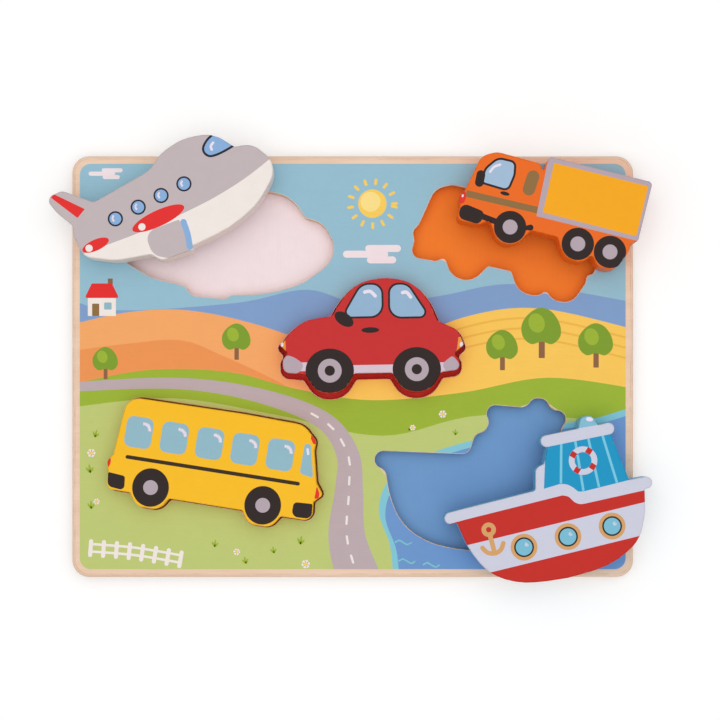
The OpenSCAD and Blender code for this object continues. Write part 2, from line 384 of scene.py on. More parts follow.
def node_loops(node: str) -> list[Loop]:
    """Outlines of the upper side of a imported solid.

    Args:
        node: The solid's name.

    Returns:
        The outer outline and then those of its holes, each anticlockwise, in millimetres.
    """
    solid = bmesh.new()
    solid.from_mesh(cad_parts[node].data)
    bmesh.ops.remove_doubles(solid, verts=solid.verts, dist=SAME_PLACE)
    top = max(v.co.z for v in solid.verts)
    lid = [f for f in solid.faces if all(abs(v.co.z - top) < SAME_PLACE for v in f.verts)]
    in_lid = set(lid)
    after = {}
    for face in lid:
        for corner in face.loops:
            if sum(f in in_lid for f in corner.edge.link_faces) == 1:
                after[corner.vert] = corner.link_loop_next.vert
    loops = [anticlockwise([(v.co.x / MM, v.co.y / MM) for v in row]) for row in followed(after)]
    solid.free()
    return sorted(loops, key=area_of, reverse=True)


def mosaic(areas: Sequence[Loop], lines: Sequence[Loop]) -> tuple[np.ndarray, list, list]:
    """Triangles that fill areas, with edges along all outlines.

    Args:
        areas: Outlines of the areas, which may overlap.
        lines: More closed lines that the edges follow.

    Returns:
        The points, the triangles, and the numbers of the areas that each triangle lies in.
    """
    spots: list[Vector] = []
    runs: list[list[int]] = []
    for loop in [*map(anticlockwise, areas), *lines]:
        runs.append(list(range(len(spots), len(spots) + len(loop))))
        spots.extend(Vector(p) for p in loop)
    edges = [pair for run in runs[len(areas):] for pair in zip(run, run[1:] + run[:1])]
    found, _, triangles, _, _, owners = delaunay_2d_cdt(spots, edges, runs[: len(areas)], 1, WELD, True)
    return np.array([(p.x, p.y) for p in found]), triangles, owners


# Meshes: printed faces, eased edges and walls


@dataclass(frozen=True)
class Patch:
    """One area of ink on a face; a later patch covers an earlier one."""

    ink: Ink
    loop: Loop


@dataclass(frozen=True)
class Print:
    """All ink on a face: patches over a base, inside a limit if there is one."""

    base: Ink
    patches: Sequence[Patch]
    limit: Union[Loop, None] = None

    def areas(self) -> list[Loop]:
        """The outlines of the limit and of the patches."""
        return [*([self.limit] if self.limit else []), *(patch.loop for patch in self.patches)]

    def ink_in(self, areas: Sequence[int], first: int) -> Union[Ink, None]:
        """Ink of a spot.

        Args:
            areas: Numbers of the areas that the spot lies in.
            first: Number of the first area of this print.

        Returns:
            The topmost ink, or None outside the limit.
        """
        if self.limit:
            if first not in areas:
                return None
            first += 1
        top = max(areas)
        return self.patches[top - first].ink if top >= first else self.base


@dataclass(frozen=True)
class Edge:
    """Outline of a face, and the radius to which the corner beside it is eased."""

    loop: Loop
    radius: float

    def drop(self, away: np.ndarray) -> np.ndarray:
        """How far the eased corner lies below the face, at these distances from the outline."""
        left = np.clip(self.radius - away, 0, self.radius)
        return self.radius - np.sqrt(self.radius**2 - left**2)

    def rows(self, side: int) -> list[Loop]:
        """Lines along the eased corner, to the left of the outline (1) or to its right (-1)."""
        turns = [math.pi / 2 * step / EASE_STEPS for step in range(1, EASE_STEPS + 1)]
        return [moved_aside(self.loop, side * self.radius * (1 - math.cos(turn))) for turn in turns]


def eased_foot(low: float, ease: float, wear: float) -> list[Corner]:
    """How far in, how high and how worn each row of a wall's lower corner is, from the top down."""
    turns = [math.pi / 2 * step / EASE_STEPS for step in range(EASE_STEPS + 1)]
    return [(ease * (1 - math.cos(t)), low + ease * (1 - math.sin(t)), wear * t) for t in turns]


@dataclass
class Shell:
    """Points and faces of one closed mesh, with the ink of each face."""

    points: list[Corner] = field(default_factory=list)
    rims: list[float] = field(default_factory=list)
    faces: list[tuple[int, ...]] = field(default_factory=list)
    inks: list[Ink] = field(default_factory=list)
    rounds: list[bool] = field(default_factory=list)
    slots: list[int] = field(default_factory=list)

    def point(self, x: float, y: float, z: float, rim: float) -> int:
        """Adds a point.

        Args:
            x: Place along the tray, in millimetres.
            y: Place across it.
            z: Height.
            rim: 1 on a worn corner, 0 away from it.

        Returns:
            The point's number.
        """
        self.points.append((float(x), float(y), float(z)))
        self.rims.append(float(rim))
        return len(self.points) - 1

    def face(self, corners: Sequence[int], ink: Ink, is_round: bool, slot: int = 0) -> None:
        """Adds a face.

        Args:
            corners: Numbers of its points.
            ink: Its ink.
            is_round: Whether it is part of a round surface.
            slot: Slot of its finish.
        """
        self.faces.append(tuple(corners))
        self.inks.append(ink)
        self.rounds.append(is_round)
        self.slots.append(slot)

    def lay_face(self, height: float, outer: Edge, holes: Sequence[Edge], printed: Print,
                 rim_slot: int = 0) -> list[list[int]]:
        """Lays the printed upper side, with its eased corners.

        Args:
            height: Height of the face.
            outer: Outline of the face.
            holes: Outlines of the holes in it, whose eased corners are left bare.
            printed: The ink on it.
            rim_slot: Slot of the finish on the eased corners that are left bare.

        Returns:
            The points along each outline, with the solid to their left, the outer one first.
        """
        edges = (outer, *holes)
        lines = [*outer.rows(1), *(row for hole in holes for row in hole.rows(-1))]
        plan, triangles, owners = mosaic([*(edge.loop for edge in edges), *printed.areas()], lines)
        away = [distance_to(plan, edge.loop) for edge in edges]
        drops = np.max([edge.drop(gap) for edge, gap in zip(edges, away)], axis=0)
        rims = np.max([np.clip(1 - gap / edge.radius, 0, 1) for edge, gap in zip(edges, away)], axis=0)
        numbers: dict[int, int] = {}
        sides: list[tuple[int, int]] = []
        for triangle, areas in zip(triangles, owners):
            if 0 not in areas or any(1 <= area <= len(holes) for area in areas):
                continue
            for i in triangle:
                if i not in numbers:
                    numbers[i] = self.point(*plan[i], height - drops[i], rims[i])
            spots = list(triangle)
            corners = [numbers[i] for i in spots]
            is_round = bool(drops[spots].max() > FLAT)
            by_hole = any(gap[spots].mean() < hole.radius for hole, gap in zip(holes, away[1:]))
            ink = None if by_hole else printed.ink_in(areas, len(edges))
            self.face(corners, ink or Ink.BIRCH, is_round, rim_slot if is_round and not ink else 0)
            sides.extend(zip(corners, corners[1:] + corners[:1]))
        inner = set(sides)
        rows = followed({a: b for a, b in sides if (b, a) not in inner})
        return sorted(rows, key=lambda row: area_of([self.points[i][:2] for i in row]), reverse=True)

    def skirt(self, row: list[int], steps: Sequence[Corner], ink: Ink, slot: int = 0) -> list[int]:
        """Hangs walls from a closed row of points.

        Args:
            row: The points, with the solid to their left.
            steps: How far in, how high and how worn each row below is, from the top down.
            ink: Ink of the walls.
            slot: Slot of their finish.

        Returns:
            The lowest row.
        """
        plan = [self.points[i][:2] for i in row]
        for inset, height, rim in steps:
            below = [self.point(x, y, height, rim) for x, y in moved_aside(plan, inset)]
            for i, here in enumerate(row):
                j = (i + 1) % len(row)
                self.face((here, below[i], below[j], row[j]), ink, True, slot)
            row = below
        return row

    def close_below(self, rows: Sequence[list[int]], ink: Ink) -> None:
        """Closes the underside.

        Args:
            rows: The outer row of points, and then those of the holes.
            ink: Ink of the underside.
        """
        flat = [i for row in rows for i in row]
        plans = [[Vector((*self.points[i][:2], 0)) for i in row] for row in rows]
        for triangle in tessellate_polygon(plans):
            self.face([flat[i] for i in triangle], ink, False)

    def piece(self, name: str, materials: Sequence[bpy.types.Material]) -> bpy.types.Object:
        """Makes the object of the shell, at the origin, with its place in its mesh.

        Args:
            name: The object's name.
            materials: The finishes, in the order of the slots.

        Returns:
            The object, with all its faces turned outwards.
        """
        mesh = bpy.data.meshes.new(name)
        mesh.from_pydata([tuple(c * MM for c in p) for p in self.points], [], self.faces)
        solid = bmesh.new()
        solid.from_mesh(mesh)
        bmesh.ops.recalc_face_normals(solid, faces=solid.faces)
        solid.to_mesh(mesh)
        solid.free()
        mesh.polygons.foreach_set("use_smooth", self.rounds)
        mesh.polygons.foreach_set("material_index", self.slots)
        ink = mesh.color_attributes.new("ink", "FLOAT_COLOR", "CORNER")
        shades = [colour.paint for corners, colour in zip(self.faces, self.inks) for _ in corners]
        ink.data.foreach_set("color", np.array(shades, np.float32).ravel())
        rim = mesh.attributes.new("rim", "FLOAT", "POINT")
        rim.data.foreach_set("value", np.array(self.rims, np.float32))
        for material in materials:
            mesh.materials.append(material)
        mesh.update()
        return linked(name, mesh)


def linked(name: str, data: bpy.types.ID) -> bpy.types.Object:
    """Puts data into the scene.

    Args:
        name: Name of the new object.
        data: Its mesh, lamp or camera.

    Returns:
        The object.
    """
    made = bpy.data.objects.new(name, data)
    bpy.context.scene.collection.objects.link(made)
    return made


# Node trees, for finishes and for stamped motifs


class Sock:
    """A value in a node tree, which Python's own operators work on."""

    def __init__(self, graph: "Graph", socket: bpy.types.NodeSocket) -> None:
        """Wraps a node's output."""
        self.graph = graph
        self.socket = socket

    def math(self, operation: str, other: "Number" = 0.0) -> "Sock":
        """A Math node on this value and another."""
        return self.graph.out("ShaderNodeMath", {"operation": operation}, {0: self, 1: other})

    def from_number(self, operation: str, other: float) -> "Sock":
        """A Math node on a number and this value, in that order."""
        return self.graph.out("ShaderNodeMath", {"operation": operation}, {0: other, 1: self})

    def __add__(self, other: "Number") -> "Sock":
        """Sum."""
        return self.math("ADD", other)

    def __sub__(self, other: "Number") -> "Sock":
        """Difference."""
        return self.math("SUBTRACT", other)

    def __mul__(self, other: "Number") -> "Sock":
        """Product."""
        return self.math("MULTIPLY", other)

    def __truediv__(self, other: "Number") -> "Sock":
        """Quotient."""
        return self.math("DIVIDE", other)

    def __rsub__(self, other: float) -> "Sock":
        """Difference from a number."""
        return self.from_number("SUBTRACT", other)

    def __rtruediv__(self, other: float) -> "Sock":
        """Quotient of a number."""
        return self.from_number("DIVIDE", other)

    __radd__ = __add__
    __rmul__ = __mul__

    def step(self, low: float, high: float) -> "Sock":
        """Smooth rise from 0 at low to 1 at high."""
        settings = {"interpolation_type": "SMOOTHSTEP"}
        return self.graph.out("ShaderNodeMapRange", settings, {0: self, 1: low, 2: high})


Number = Union[float, Sock]
Options = Union[dict, None]


class Graph:
    """A node tree that is filled from Python."""

    def __init__(self, tree: bpy.types.NodeTree) -> None:
        """Takes the tree to fill."""
        self.tree = tree

    def fill(self, node: bpy.types.Node, sockets: dict) -> None:
        """Sets or links the inputs of a node.

        Args:
            node: The node.
            sockets: Values or links for its inputs, by name or number; a list links several.
        """
        for key, value in sockets.items():
            for source in value if isinstance(value, list) else [value]:
                if isinstance(source, Sock):
                    self.tree.links.new(source.socket, node.inputs[key])
                else:
                    node.inputs[key].default_value = source

    def node(self, kind: str, settings: Options = None, sockets: Options = None) -> bpy.types.Node:
        """Adds a node.

        Args:
            kind: The node's type.
            settings: Its own options, which are set first.
            sockets: Values or links for its inputs, by name or number; a list links several.

        Returns:
            The node.
        """
        made = self.tree.nodes.new(kind)
        for name, value in (settings or {}).items():
            setattr(made, name, value)
        self.fill(made, sockets or {})
        return made

    def out(self, kind: str, settings: Options = None, sockets: Options = None,
            output: Union[int, str] = 0) -> Sock:
        """Adds a node and returns one of its outputs."""
        return Sock(self, self.node(kind, settings, sockets).outputs[output])

    def mix(self, factor: Number, first: object, second: object) -> Sock:
        """Colour between two colours."""
        return self.out("ShaderNodeMix", {"data_type": "RGBA"}, {0: factor, 6: first, 7: second}, 2)

    def shade(self, colour: Sock, strength: Number) -> Sock:
        """Colour made darker or lighter by a factor."""
        return self.out("ShaderNodeVectorMath", {"operation": "SCALE"}, {0: colour, "Scale": strength})

    def place(self) -> Sock:
        """Place on the piece, in metres."""
        return self.out("ShaderNodeTexCoord", output="Object")

    def noise(self, coords: Sock, pitch: Corner, detail: float = 2.0) -> Sock:
        """Noise of a mean size.

        Args:
            coords: Where the noise is read.
            pitch: Its mean size along each axis, in millimetres.
            detail: How much finer noise lies on it.

        Returns:
            The noise, from 0 to 1.
        """
        scale = tuple(1 / (MM * size) for size in pitch)
        scaled = self.out("ShaderNodeMapping", None, {0: coords, "Scale": scale})
        return self.out("ShaderNodeTexNoise", None, {0: scaled, "Scale": 1.0, "Detail": detail})


class Coat(Graph):
    """The nodes of one material."""

    def __init__(self, name: str) -> None:
        """Starts a material.

        Args:
            name: The material's name.
        """
        self.material = bpy.data.materials.new(name)
        self.material.use_nodes = True
        super().__init__(self.material.node_tree)

    def dress(self, relief: float, ridges: Sock, sockets: dict) -> bpy.types.Material:
        """Gives the shader its relief and its other inputs.

        Args:
            relief: Strength of the relief.
            ridges: Its height, from 0 to 1.
            sockets: Values or links for the shader's other inputs.

        Returns:
            The material.
        """
        raised = {"Strength": relief, "Distance": RELIEF_HEIGHT, "Height": ridges}
        bump = self.out("ShaderNodeBump", None, raised)
        shader = self.tree.nodes["Principled BSDF"]
        self.fill(shader, {**sockets, "Normal": bump, "Specular IOR Level": MIRROR})
        return self.material


class StampTree(Graph):
    """A Geometry Nodes tree with named inputs, which prints a motif on a plan as a thin film of ink."""

    def __init__(self, name: str, finish: bpy.types.Material, film: float = FILM) -> None:
        """Starts the tree.

        Args:
            name: Name of the film.
            finish: Its material.
            film: How far it stands out of the face, in millimetres.
        """
        super().__init__(bpy.data.node_groups.new(name, "GeometryNodeTree"))
        self.name = name
        self.values: dict[str, object] = {}
        self.tree.interface.new_socket(name="Film", in_out="OUTPUT", socket_type="NodeSocketGeometry")
        self.entry = self.node("NodeGroupInput")
        self.plan = self.input("Plan", "NodeSocketGeometry")
        self.finish = self.input("Finish", "NodeSocketMaterial", finish)
        self.film = self.length("Film", film)

    def input(self, name: str, kind: str, value: object = None) -> Sock:
        """Adds a named input.

        Args:
            name: The input's name.
            kind: Its socket's type.
            value: What it is set to, or None for the plan itself.

        Returns:
            The input.
        """
        made = self.tree.interface.new_socket(name=name, in_out="INPUT", socket_type=kind)
        if value is not None:
            self.values[made.identifier] = value
        return Sock(self, self.entry.outputs[name])

    def length(self, name: str, size: float) -> Sock:
        """Adds a named length, given in millimetres."""
        return self.input(name, "NodeSocketFloat", size * MM)

    def angle(self, name: str, degrees: float) -> Sock:
        """Adds a named angle."""
        return self.input(name, "NodeSocketFloat", math.radians(degrees))

    def colour(self, name: str, ink: Ink) -> Sock:
        """Adds a named ink."""
        return self.input(name, "NodeSocketColor", ink.paint)

    def inked(self, shape: Sock, ink: Sock) -> Sock:
        """The shape with its ink written on it."""
        settings, sockets = {"data_type": "FLOAT_COLOR", "domain": "CORNER"}, {"Name": "ink", "Value": ink}
        return self.out("GeometryNodeStoreNamedAttribute", settings, {"Geometry": shape, **sockets})

    def moved(self, shape: Sock, **change: object) -> Sock:
        """The shape after a Translation, Rotation or Scale."""
        return self.out("GeometryNodeTransform", None, {"Geometry": shape, **change})

    def joined(self, shapes: list[Sock]) -> Sock:
        """Several shapes as one."""
        return self.out("GeometryNodeJoinGeometry", None, {0: shapes})

    def rise(self, **shift: Number) -> Sock:
        """A shift along X, Y or Z."""
        return self.out("ShaderNodeCombineXYZ", None, shift)

    def disc(self, radius: Number, film: Number, sides: int = 48) -> Sock:
        """Thin disc, half sunk into the face."""
        sockets = {"Vertices": sides, "Radius": radius, "Depth": film * 2}
        return self.out("GeometryNodeMeshCylinder", None, sockets)

    def frame_line(self, width: Number, height: Number) -> Sock:
        """Rectangular line."""
        return self.out("GeometryNodeCurvePrimitiveQuadrilateral", None, {"Width": width, "Height": height})

    def panel(self, width: Number, height: Number, corner: Number) -> Sock:
        """Thin panel with round corners, half sunk into the face.

        Args:
            width: Its width.
            height: Its height.
            corner: Radius of its corners.

        Returns:
            The panel, about the origin.
        """
        sharp = self.frame_line(width, height)
        sockets = {"Curve": sharp, "Count": 6, "Radius": corner, "Limit Radius": True}
        line = self.out("GeometryNodeFilletCurve", {"mode": "POLY"}, sockets)
        sheet = self.out("GeometryNodeFillCurve", {"mode": "NGONS"}, {"Curve": line})
        lift = {"Offset": self.rise(Z=self.film * 2), "Offset Scale": 1.0, "Individual": False}
        raised = self.out("GeometryNodeExtrudeMesh", None, {"Mesh": sheet, **lift})
        below = self.out("GeometryNodeFlipFaces", None, {"Mesh": sheet})
        both = {"Geometry": self.joined([raised, below]), "Distance": SAME_PLACE}
        closed = self.out("GeometryNodeMergeByDistance", None, both)
        return self.moved(closed, Translation=self.rise(Z=self.film * -1))

    def line(self, curve: Sock, width: Number, film: Number) -> Sock:
        """Thin flat line, half sunk into the face.

        Args:
            curve: The curve that it follows.
            width: Its width.
            film: How far it stands out.

        Returns:
            The line.
        """
        level = self.out("GeometryNodeSetCurveNormal", {"mode": "Z_UP"}, {"Curve": curve})
        sockets = {"Curve": level, "Profile Curve": self.frame_line(width, film * 2), "Fill Caps": True}
        return self.out("GeometryNodeCurveToMesh", None, sockets)

    def placed(self, shape: Sock, points: Sock, **how: object) -> Sock:
        """A copy of the shape on each point."""
        return self.out("GeometryNodeInstanceOnPoints", None, {"Points": points, "Instance": shape, **how})

    def press(self, shape: Sock, plan: bpy.types.Mesh) -> bpy.types.Object:
        """Ends the tree, with copies made real and given their finish, and runs it.

        Args:
            shape: The motifs.
            plan: Points, lines or areas at the height of the face.

        Returns:
            The film as a plain mesh.
        """
        real = self.out("GeometryNodeRealizeInstances", None, {"Geometry": shape})
        done = self.out("GeometryNodeSetMaterial", None, {"Geometry": real, "Material": self.finish})
        self.node("NodeGroupOutput", None, {"Film": done})
        holder = linked(self.name + "_plan", plan)
        modifier = holder.modifiers.new("stamp", "NODES")
        modifier.node_group = self.tree
        for identifier, value in self.values.items():
            modifier[identifier] = value
        graph = bpy.context.evaluated_depsgraph_get()
        mesh = bpy.data.meshes.new_from_object(holder.evaluated_get(graph), depsgraph=graph)
        mesh.name = self.name
        holder.modifiers.remove(modifier)
        bpy.data.objects.remove(holder)
        return linked(self.name, mesh)


def plan_mesh(height: float, points: Sequence[Point] = (), paths: Iterable[Sequence[Point]] = (),
              areas: Iterable[Sequence[Point]] = ()) -> bpy.types.Mesh:
    """Points, lines and areas on a level, as the plan of a stamp.

    Args:
        height: Height of the level in millimetres.
        points: Single points.
        paths: Open lines.
        areas: Areas, as anticlockwise outlines.

    Returns:
        A mesh of loose points, edges and faces.
    """
    spots, edges, faces = list(points), [], []
    for path in paths:
        first = len(spots)
        spots.extend(path)
        edges.extend((i, i + 1) for i in range(first, len(spots) - 1))
    for area in areas:
        faces.append(list(range(len(spots), len(spots) + len(area))))
        spots.extend(area)
    mesh = bpy.data.meshes.new("plan")
    mesh.from_pydata([(x * MM, y * MM, height * MM) for x, y in spots], edges, faces)
    return mesh


# Stamps: motifs that repeat


@dataclass(frozen=True)
class Glint:
    """White curved highlight: its arc's middle, radius, start, sweep and width."""

    place: Point
    radius: float
    start: float
    sweep: float
    width: float
    ink: Ink = Ink.GLINT
    points: int = 10

    def draw(self, tree: StampTree, film: Number, turn: float) -> Sock:
        """Draws the highlight on a stamp.

        Args:
            tree: The stamp's tree.
            film: How far the highlight stands out.
            turn: Turn of the stamp in degrees.

        Returns:
            The highlight.
        """
        sockets = {
            "Resolution": self.points,
            "Radius": tree.length("Glint Radius", self.radius),
            "Start Angle": tree.angle("Glint Start", self.start + turn),
            "Sweep Angle": tree.angle("Glint Sweep", self.sweep),
        }
        arc = tree.out("GeometryNodeCurveArc", None, sockets)
        line = tree.line(arc, tree.length("Glint Width", self.width), film)
        x, y = turned(self.place, turn)
        spot = tree.input("Glint Place", "NodeSocketVector", (x * MM, y * MM, 0.0))
        return tree.moved(tree.inked(line, tree.colour("Glint Ink", self.ink)), Translation=spot)


@dataclass(frozen=True)
class Roundels:
    """Discs one on another, at each of some points: hubs, round windows and portholes."""

    rings: tuple[tuple[float, Ink], ...]
    glint: Union[Glint, None] = None

    def press(self, name: str, points: Sequence[Point], height: float, turn: float,
              finish: bpy.types.Material) -> bpy.types.Object:
        """Prints the discs.

        Args:
            name: Name of the film.
            points: Where the discs lie.
            height: Height of the face.
            turn: Turn of the highlights in degrees.
            finish: Material of the film.

        Returns:
            The film.
        """
        tree = StampTree(name, finish)
        layers = []
        for number, (radius, ink) in enumerate(self.rings):
            disc = tree.disc(tree.length(f"Radius {number}", radius), tree.film * (1 + number / 2))
            layers.append(tree.inked(disc, tree.colour(f"Ink {number}", ink)))
        if self.glint:
            layers.append(self.glint.draw(tree, tree.film * (1 + len(self.rings) / 2), turn))
        return tree.press(tree.placed(tree.joined(layers), tree.plan), plan_mesh(height, points=points))


@dataclass(frozen=True)
class Panes:
    """Row of window panes with round corners."""

    width: float
    height: float
    corner: float
    ink: Ink
    glint: Glint

    def press(self, name: str, points: Sequence[Point], height: float, turn: float,
              finish: bpy.types.Material) -> bpy.types.Object:
        """Prints the panes.

        Args:
            name: Name of the film.
            points: Middles of the panes.
            height: Height of the face.
            turn: Turn of the panes in degrees.
            finish: Material of the film.

        Returns:
            The film.
        """
        tree = StampTree(name, finish)
        sizes = (tree.length("Width", self.width), tree.length("Height", self.height))
        pane = tree.panel(*sizes, tree.length("Corner", self.corner))
        lean = tree.input("Turn", "NodeSocketVector", (0.0, 0.0, math.radians(turn)))
        glazed = tree.inked(tree.moved(pane, Rotation=lean), tree.colour("Ink", self.ink))
        shape = tree.joined([glazed, self.glint.draw(tree, tree.film * 1.5, turn)])
        return tree.press(tree.placed(shape, tree.plan), plan_mesh(height, points=points))


@dataclass(frozen=True)
class Bars:
    """Short bars at even steps along a path: lane marks, rays and palings."""

    length: float
    width: float
    pitch: float
    ink: Ink
    lie: Lie = Lie.ALONG
    corner_share: float = 0.45

    def press(self, name: str, paths: Sequence[Sequence[Point]], height: float,
              finish: bpy.types.Material) -> bpy.types.Object:
        """Prints the bars.

        Args:
            name: Name of the film.
            paths: The paths that the bars follow.
            height: Height of the face.
            finish: Material of the film.

        Returns:
            The film.
        """
        tree = StampTree(name, finish)
        width = tree.length("Width", self.width)
        panel = tree.panel(tree.length("Length", self.length), width, width * self.corner_share)
        curve = tree.out("GeometryNodeMeshToCurve", None, {"Mesh": tree.plan})
        sockets = {"Curve": curve, "Length": tree.length("Pitch", self.pitch)}
        marks = tree.node("GeometryNodeCurveToPoints", {"mode": "LENGTH"}, sockets)
        points, tangent = (Sock(tree, marks.outputs[key]) for key in ("Points", "Tangent"))
        settings = {"axis": self.lie.value, "pivot_axis": "Z"}
        facing = tree.out("FunctionNodeAlignRotationToVector", settings, {"Vector": tangent})
        bar = tree.inked(panel, tree.colour("Ink", self.ink))
        return tree.press(tree.placed(bar, points, Rotation=facing), plan_mesh(height, paths=paths))


@dataclass(frozen=True)
class Lines:
    """Thin lines along paths, such as ripples."""

    width: float
    ink: Ink

    def press(self, name: str, paths: Sequence[Sequence[Point]], height: float,
              finish: bpy.types.Material) -> bpy.types.Object:
        """Prints the lines.

        Args:
            name: Name of the film.
            paths: The paths that the lines follow.
            height: Height of the face.
            finish: Material of the film.

        Returns:
            The film.
        """
        tree = StampTree(name, finish)
        curve = tree.out("GeometryNodeMeshToCurve", None, {"Mesh": tree.plan})
        line = tree.line(curve, tree.length("Width", self.width), tree.film)
        return tree.press(tree.inked(line, tree.colour("Ink", self.ink)), plan_mesh(height, paths=paths))


@dataclass(frozen=True)
class Growth:
    """Sprigs strewn over areas of the meadow, the same in each run."""

    sprig: Sprig
    size: float
    apart: float
    seed: int
    leaf: Ink
    heart: Ink = Ink.SUN
    daisy_film: float = 1.4 * FILM
    crowd: float = 9000.0
    lean: float = 0.3
    least_scale: float = 0.75
    most_scale: float = 1.15
    sides: int = 14
    blades: tuple[Point, ...] = ((-34, 0.72), (0, 1.0), (32, 0.8))
    blade_width: float = 0.26
    petals: int = 6
    petal_ring: float = 0.3
    petal_radius: float = 0.19
    heart_radius: float = 0.2
    heart_sides: int = 16

    def _tuft(self, tree: StampTree, size: Sock) -> Sock:
        """Three blades from one foot.

        Args:
            tree: The stamp's tree.
            size: Length of the longest blade.

        Returns:
            The tuft.
        """
        blade = tree.disc(size * 0.5, tree.film, self.sides)
        slim = (self.blade_width, 1.0, 1.0)
        upright = tree.moved(blade, Scale=slim, Translation=tree.rise(Y=size * 0.5))
        blades = []
        for turn, reach in self.blades:
            rotation = (0.0, 0.0, math.radians(turn))
            blades.append(tree.moved(upright, Rotation=rotation, Scale=(1.0, reach, 1.0)))
        return tree.inked(tree.joined(blades), tree.colour("Leaf", self.leaf))

    def _daisy(self, tree: StampTree, size: Sock) -> Sock:
        """Petals round a heart.

        Args:
            tree: The stamp's tree.
            size: Width of the flower.

        Returns:
            The flower.
        """
        sockets = {"Vertices": self.petals, "Radius": size * self.petal_ring}
        ring = tree.out("GeometryNodeMeshCircle", None, sockets)
        petal = tree.disc(size * self.petal_radius, tree.film, self.sides)
        petals = tree.inked(tree.placed(petal, ring), tree.colour("Leaf", self.leaf))
        middle = tree.disc(size * self.heart_radius, tree.film * 1.5, self.heart_sides)
        return tree.joined([petals, tree.inked(middle, tree.colour("Heart", self.heart))])

    def press(self, name: str, areas: Sequence[Loop], height: float,
              finish: bpy.types.Material) -> bpy.types.Object:
        """Strews the sprigs.

        Args:
            name: Name of the film.
            areas: The areas that they grow on.
            height: Height of the face.
            finish: Material of the film.

        Returns:
            The film.
        """
        is_tuft = self.sprig is Sprig.TUFT
        tree = StampTree(name, finish, FILM if is_tuft else self.daisy_film)
        size = tree.length("Size", self.size)
        seed = tree.input("Seed", "NodeSocketInt", self.seed)
        shape = self._tuft(tree, size) if is_tuft else self._daisy(tree, size)
        apart = tree.length("Apart", self.apart)
        sockets = {"Mesh": tree.plan, "Distance Min": apart, "Density Max": self.crowd, "Seed": seed}
        points = tree.out("GeometryNodeDistributePointsOnFaces", {"distribute_method": "POISSON"}, sockets)
        sockets = {0: (0.0, 0.0, -self.lean), 1: (0.0, 0.0, self.lean), "Seed": seed}
        lean = tree.out("FunctionNodeRandomValue", {"data_type": "FLOAT_VECTOR"}, sockets)
        sockets = {2: self.least_scale, 3: self.most_scale, "Seed": seed}
        scale = tree.out("FunctionNodeRandomValue", None, sockets, 1)
        strewn = tree.placed(shape, points, Rotation=lean, Scale=scale)
        return tree.press(strewn, plan_mesh(height, areas=areas))


# Finishes


@dataclass(frozen=True)
class Birch:
    """Sanded birch: pale, with long fibres, a soft figure and short pores."""

    pale: Ink = Ink.BIRCH
    dark: Shade = (0.70, 0.46, 0.29, 1.0)
    fibre: Corner = (26.0, 0.55, 0.55)
    fibre_span: Point = (0.42, 0.75)
    fibre_shade: float = 0.26
    fibre_height: float = 0.7
    figure: Corner = (70.0, 9.0, 9.0)
    figure_span: Point = (0.35, 0.75)
    figure_shade: float = 0.30
    pore: Corner = (5.0, 0.22, 0.22)
    pore_span: Point = (0.60, 0.74)
    pore_shade: float = 0.22
    pore_depth: float = 0.5

    def layers(self, graph: Graph, turn: float) -> tuple[Sock, Sock]:
        """Colour and height of the wood.

        Args:
            graph: The material's nodes.
            turn: Direction of the grain, in degrees from the tray's length.

        Returns:
            The colour, and the height from 0 to 1.
        """
        grain = {0: graph.place(), "Rotation": (0, 0, math.radians(-turn))}
        along = graph.out("ShaderNodeMapping", None, grain)
        fibre = graph.noise(along, self.fibre, 3.0)
        figure = graph.noise(along, self.figure, 2.0).step(*self.figure_span) * self.figure_shade
        pore = graph.noise(along, self.pore, 1.0).step(*self.pore_span)
        depth = figure + fibre.step(*self.fibre_span) * self.fibre_shade + pore * self.pore_shade
        height = fibre * self.fibre_height - pore * self.pore_depth
        return graph.mix(depth, self.pale.paint, self.dark), height


@dataclass(frozen=True)
class InkedWood:
    """Print or satin paint over sanded birch; the mesh's inks say which colour lies where."""

    name: str
    turn: float = 0.0
    sheen: float = 0.40
    bare_roughness: float = 0.66
    grain_shows: float = 0.05
    wear: float = 0.2
    relief: float = 0.16
    mean_height: float = 0.35
    grain_filled: float = 0.6
    mottle: float = 7.0
    mottle_shade: float = 0.07
    mottle_sheen: float = 0.14
    mottle_height: float = 0.5
    stipple: float = 0.32
    stipple_shade: float = 0.05
    stipple_height: float = 0.25
    scuff: float = 2.4
    scuff_span: Point = (0.52, 0.7)

    def material(self) -> bpy.types.Material:
        """Makes the finish.

        Returns:
            The material, which reads the inks and rims of the mesh.
        """
        coat = Coat(self.name)
        wood, height = Birch().layers(coat, self.turn)
        ink = coat.node("ShaderNodeAttribute", {"attribute_name": "ink"})
        colour, cover = (Sock(coat, ink.outputs[key]) for key in ("Color", "Alpha"))
        rim = coat.out("ShaderNodeAttribute", {"attribute_name": "rim"}, output="Fac")
        place = coat.place()
        mottle = coat.noise(place, (self.mottle,) * 3, 4.0)
        stipple = coat.noise(place, (self.stipple,) * 3, 1.0)
        scuff = coat.noise(place, (self.scuff,) * 3, 3.0).step(*self.scuff_span)
        grain = 1 + self.grain_shows * (height - self.mean_height)
        strength = grain + self.mottle_shade * (mottle - 0.5) + self.stipple_shade * (stipple - 0.5)
        kept = cover * (1 - rim * scuff * self.wear)
        satin = self.bare_roughness + kept * (self.sheen - self.bare_roughness)
        rough = satin + self.mottle_sheen * (mottle - 0.5)
        fibres = height * (1 - kept * self.grain_filled)
        ridges = fibres + stipple * self.stipple_height + mottle * self.mottle_height
        looks = {"Base Color": coat.mix(kept, wood, coat.shade(colour, strength)), "Roughness": rough}
        return coat.dress(self.relief, ridges, looks)


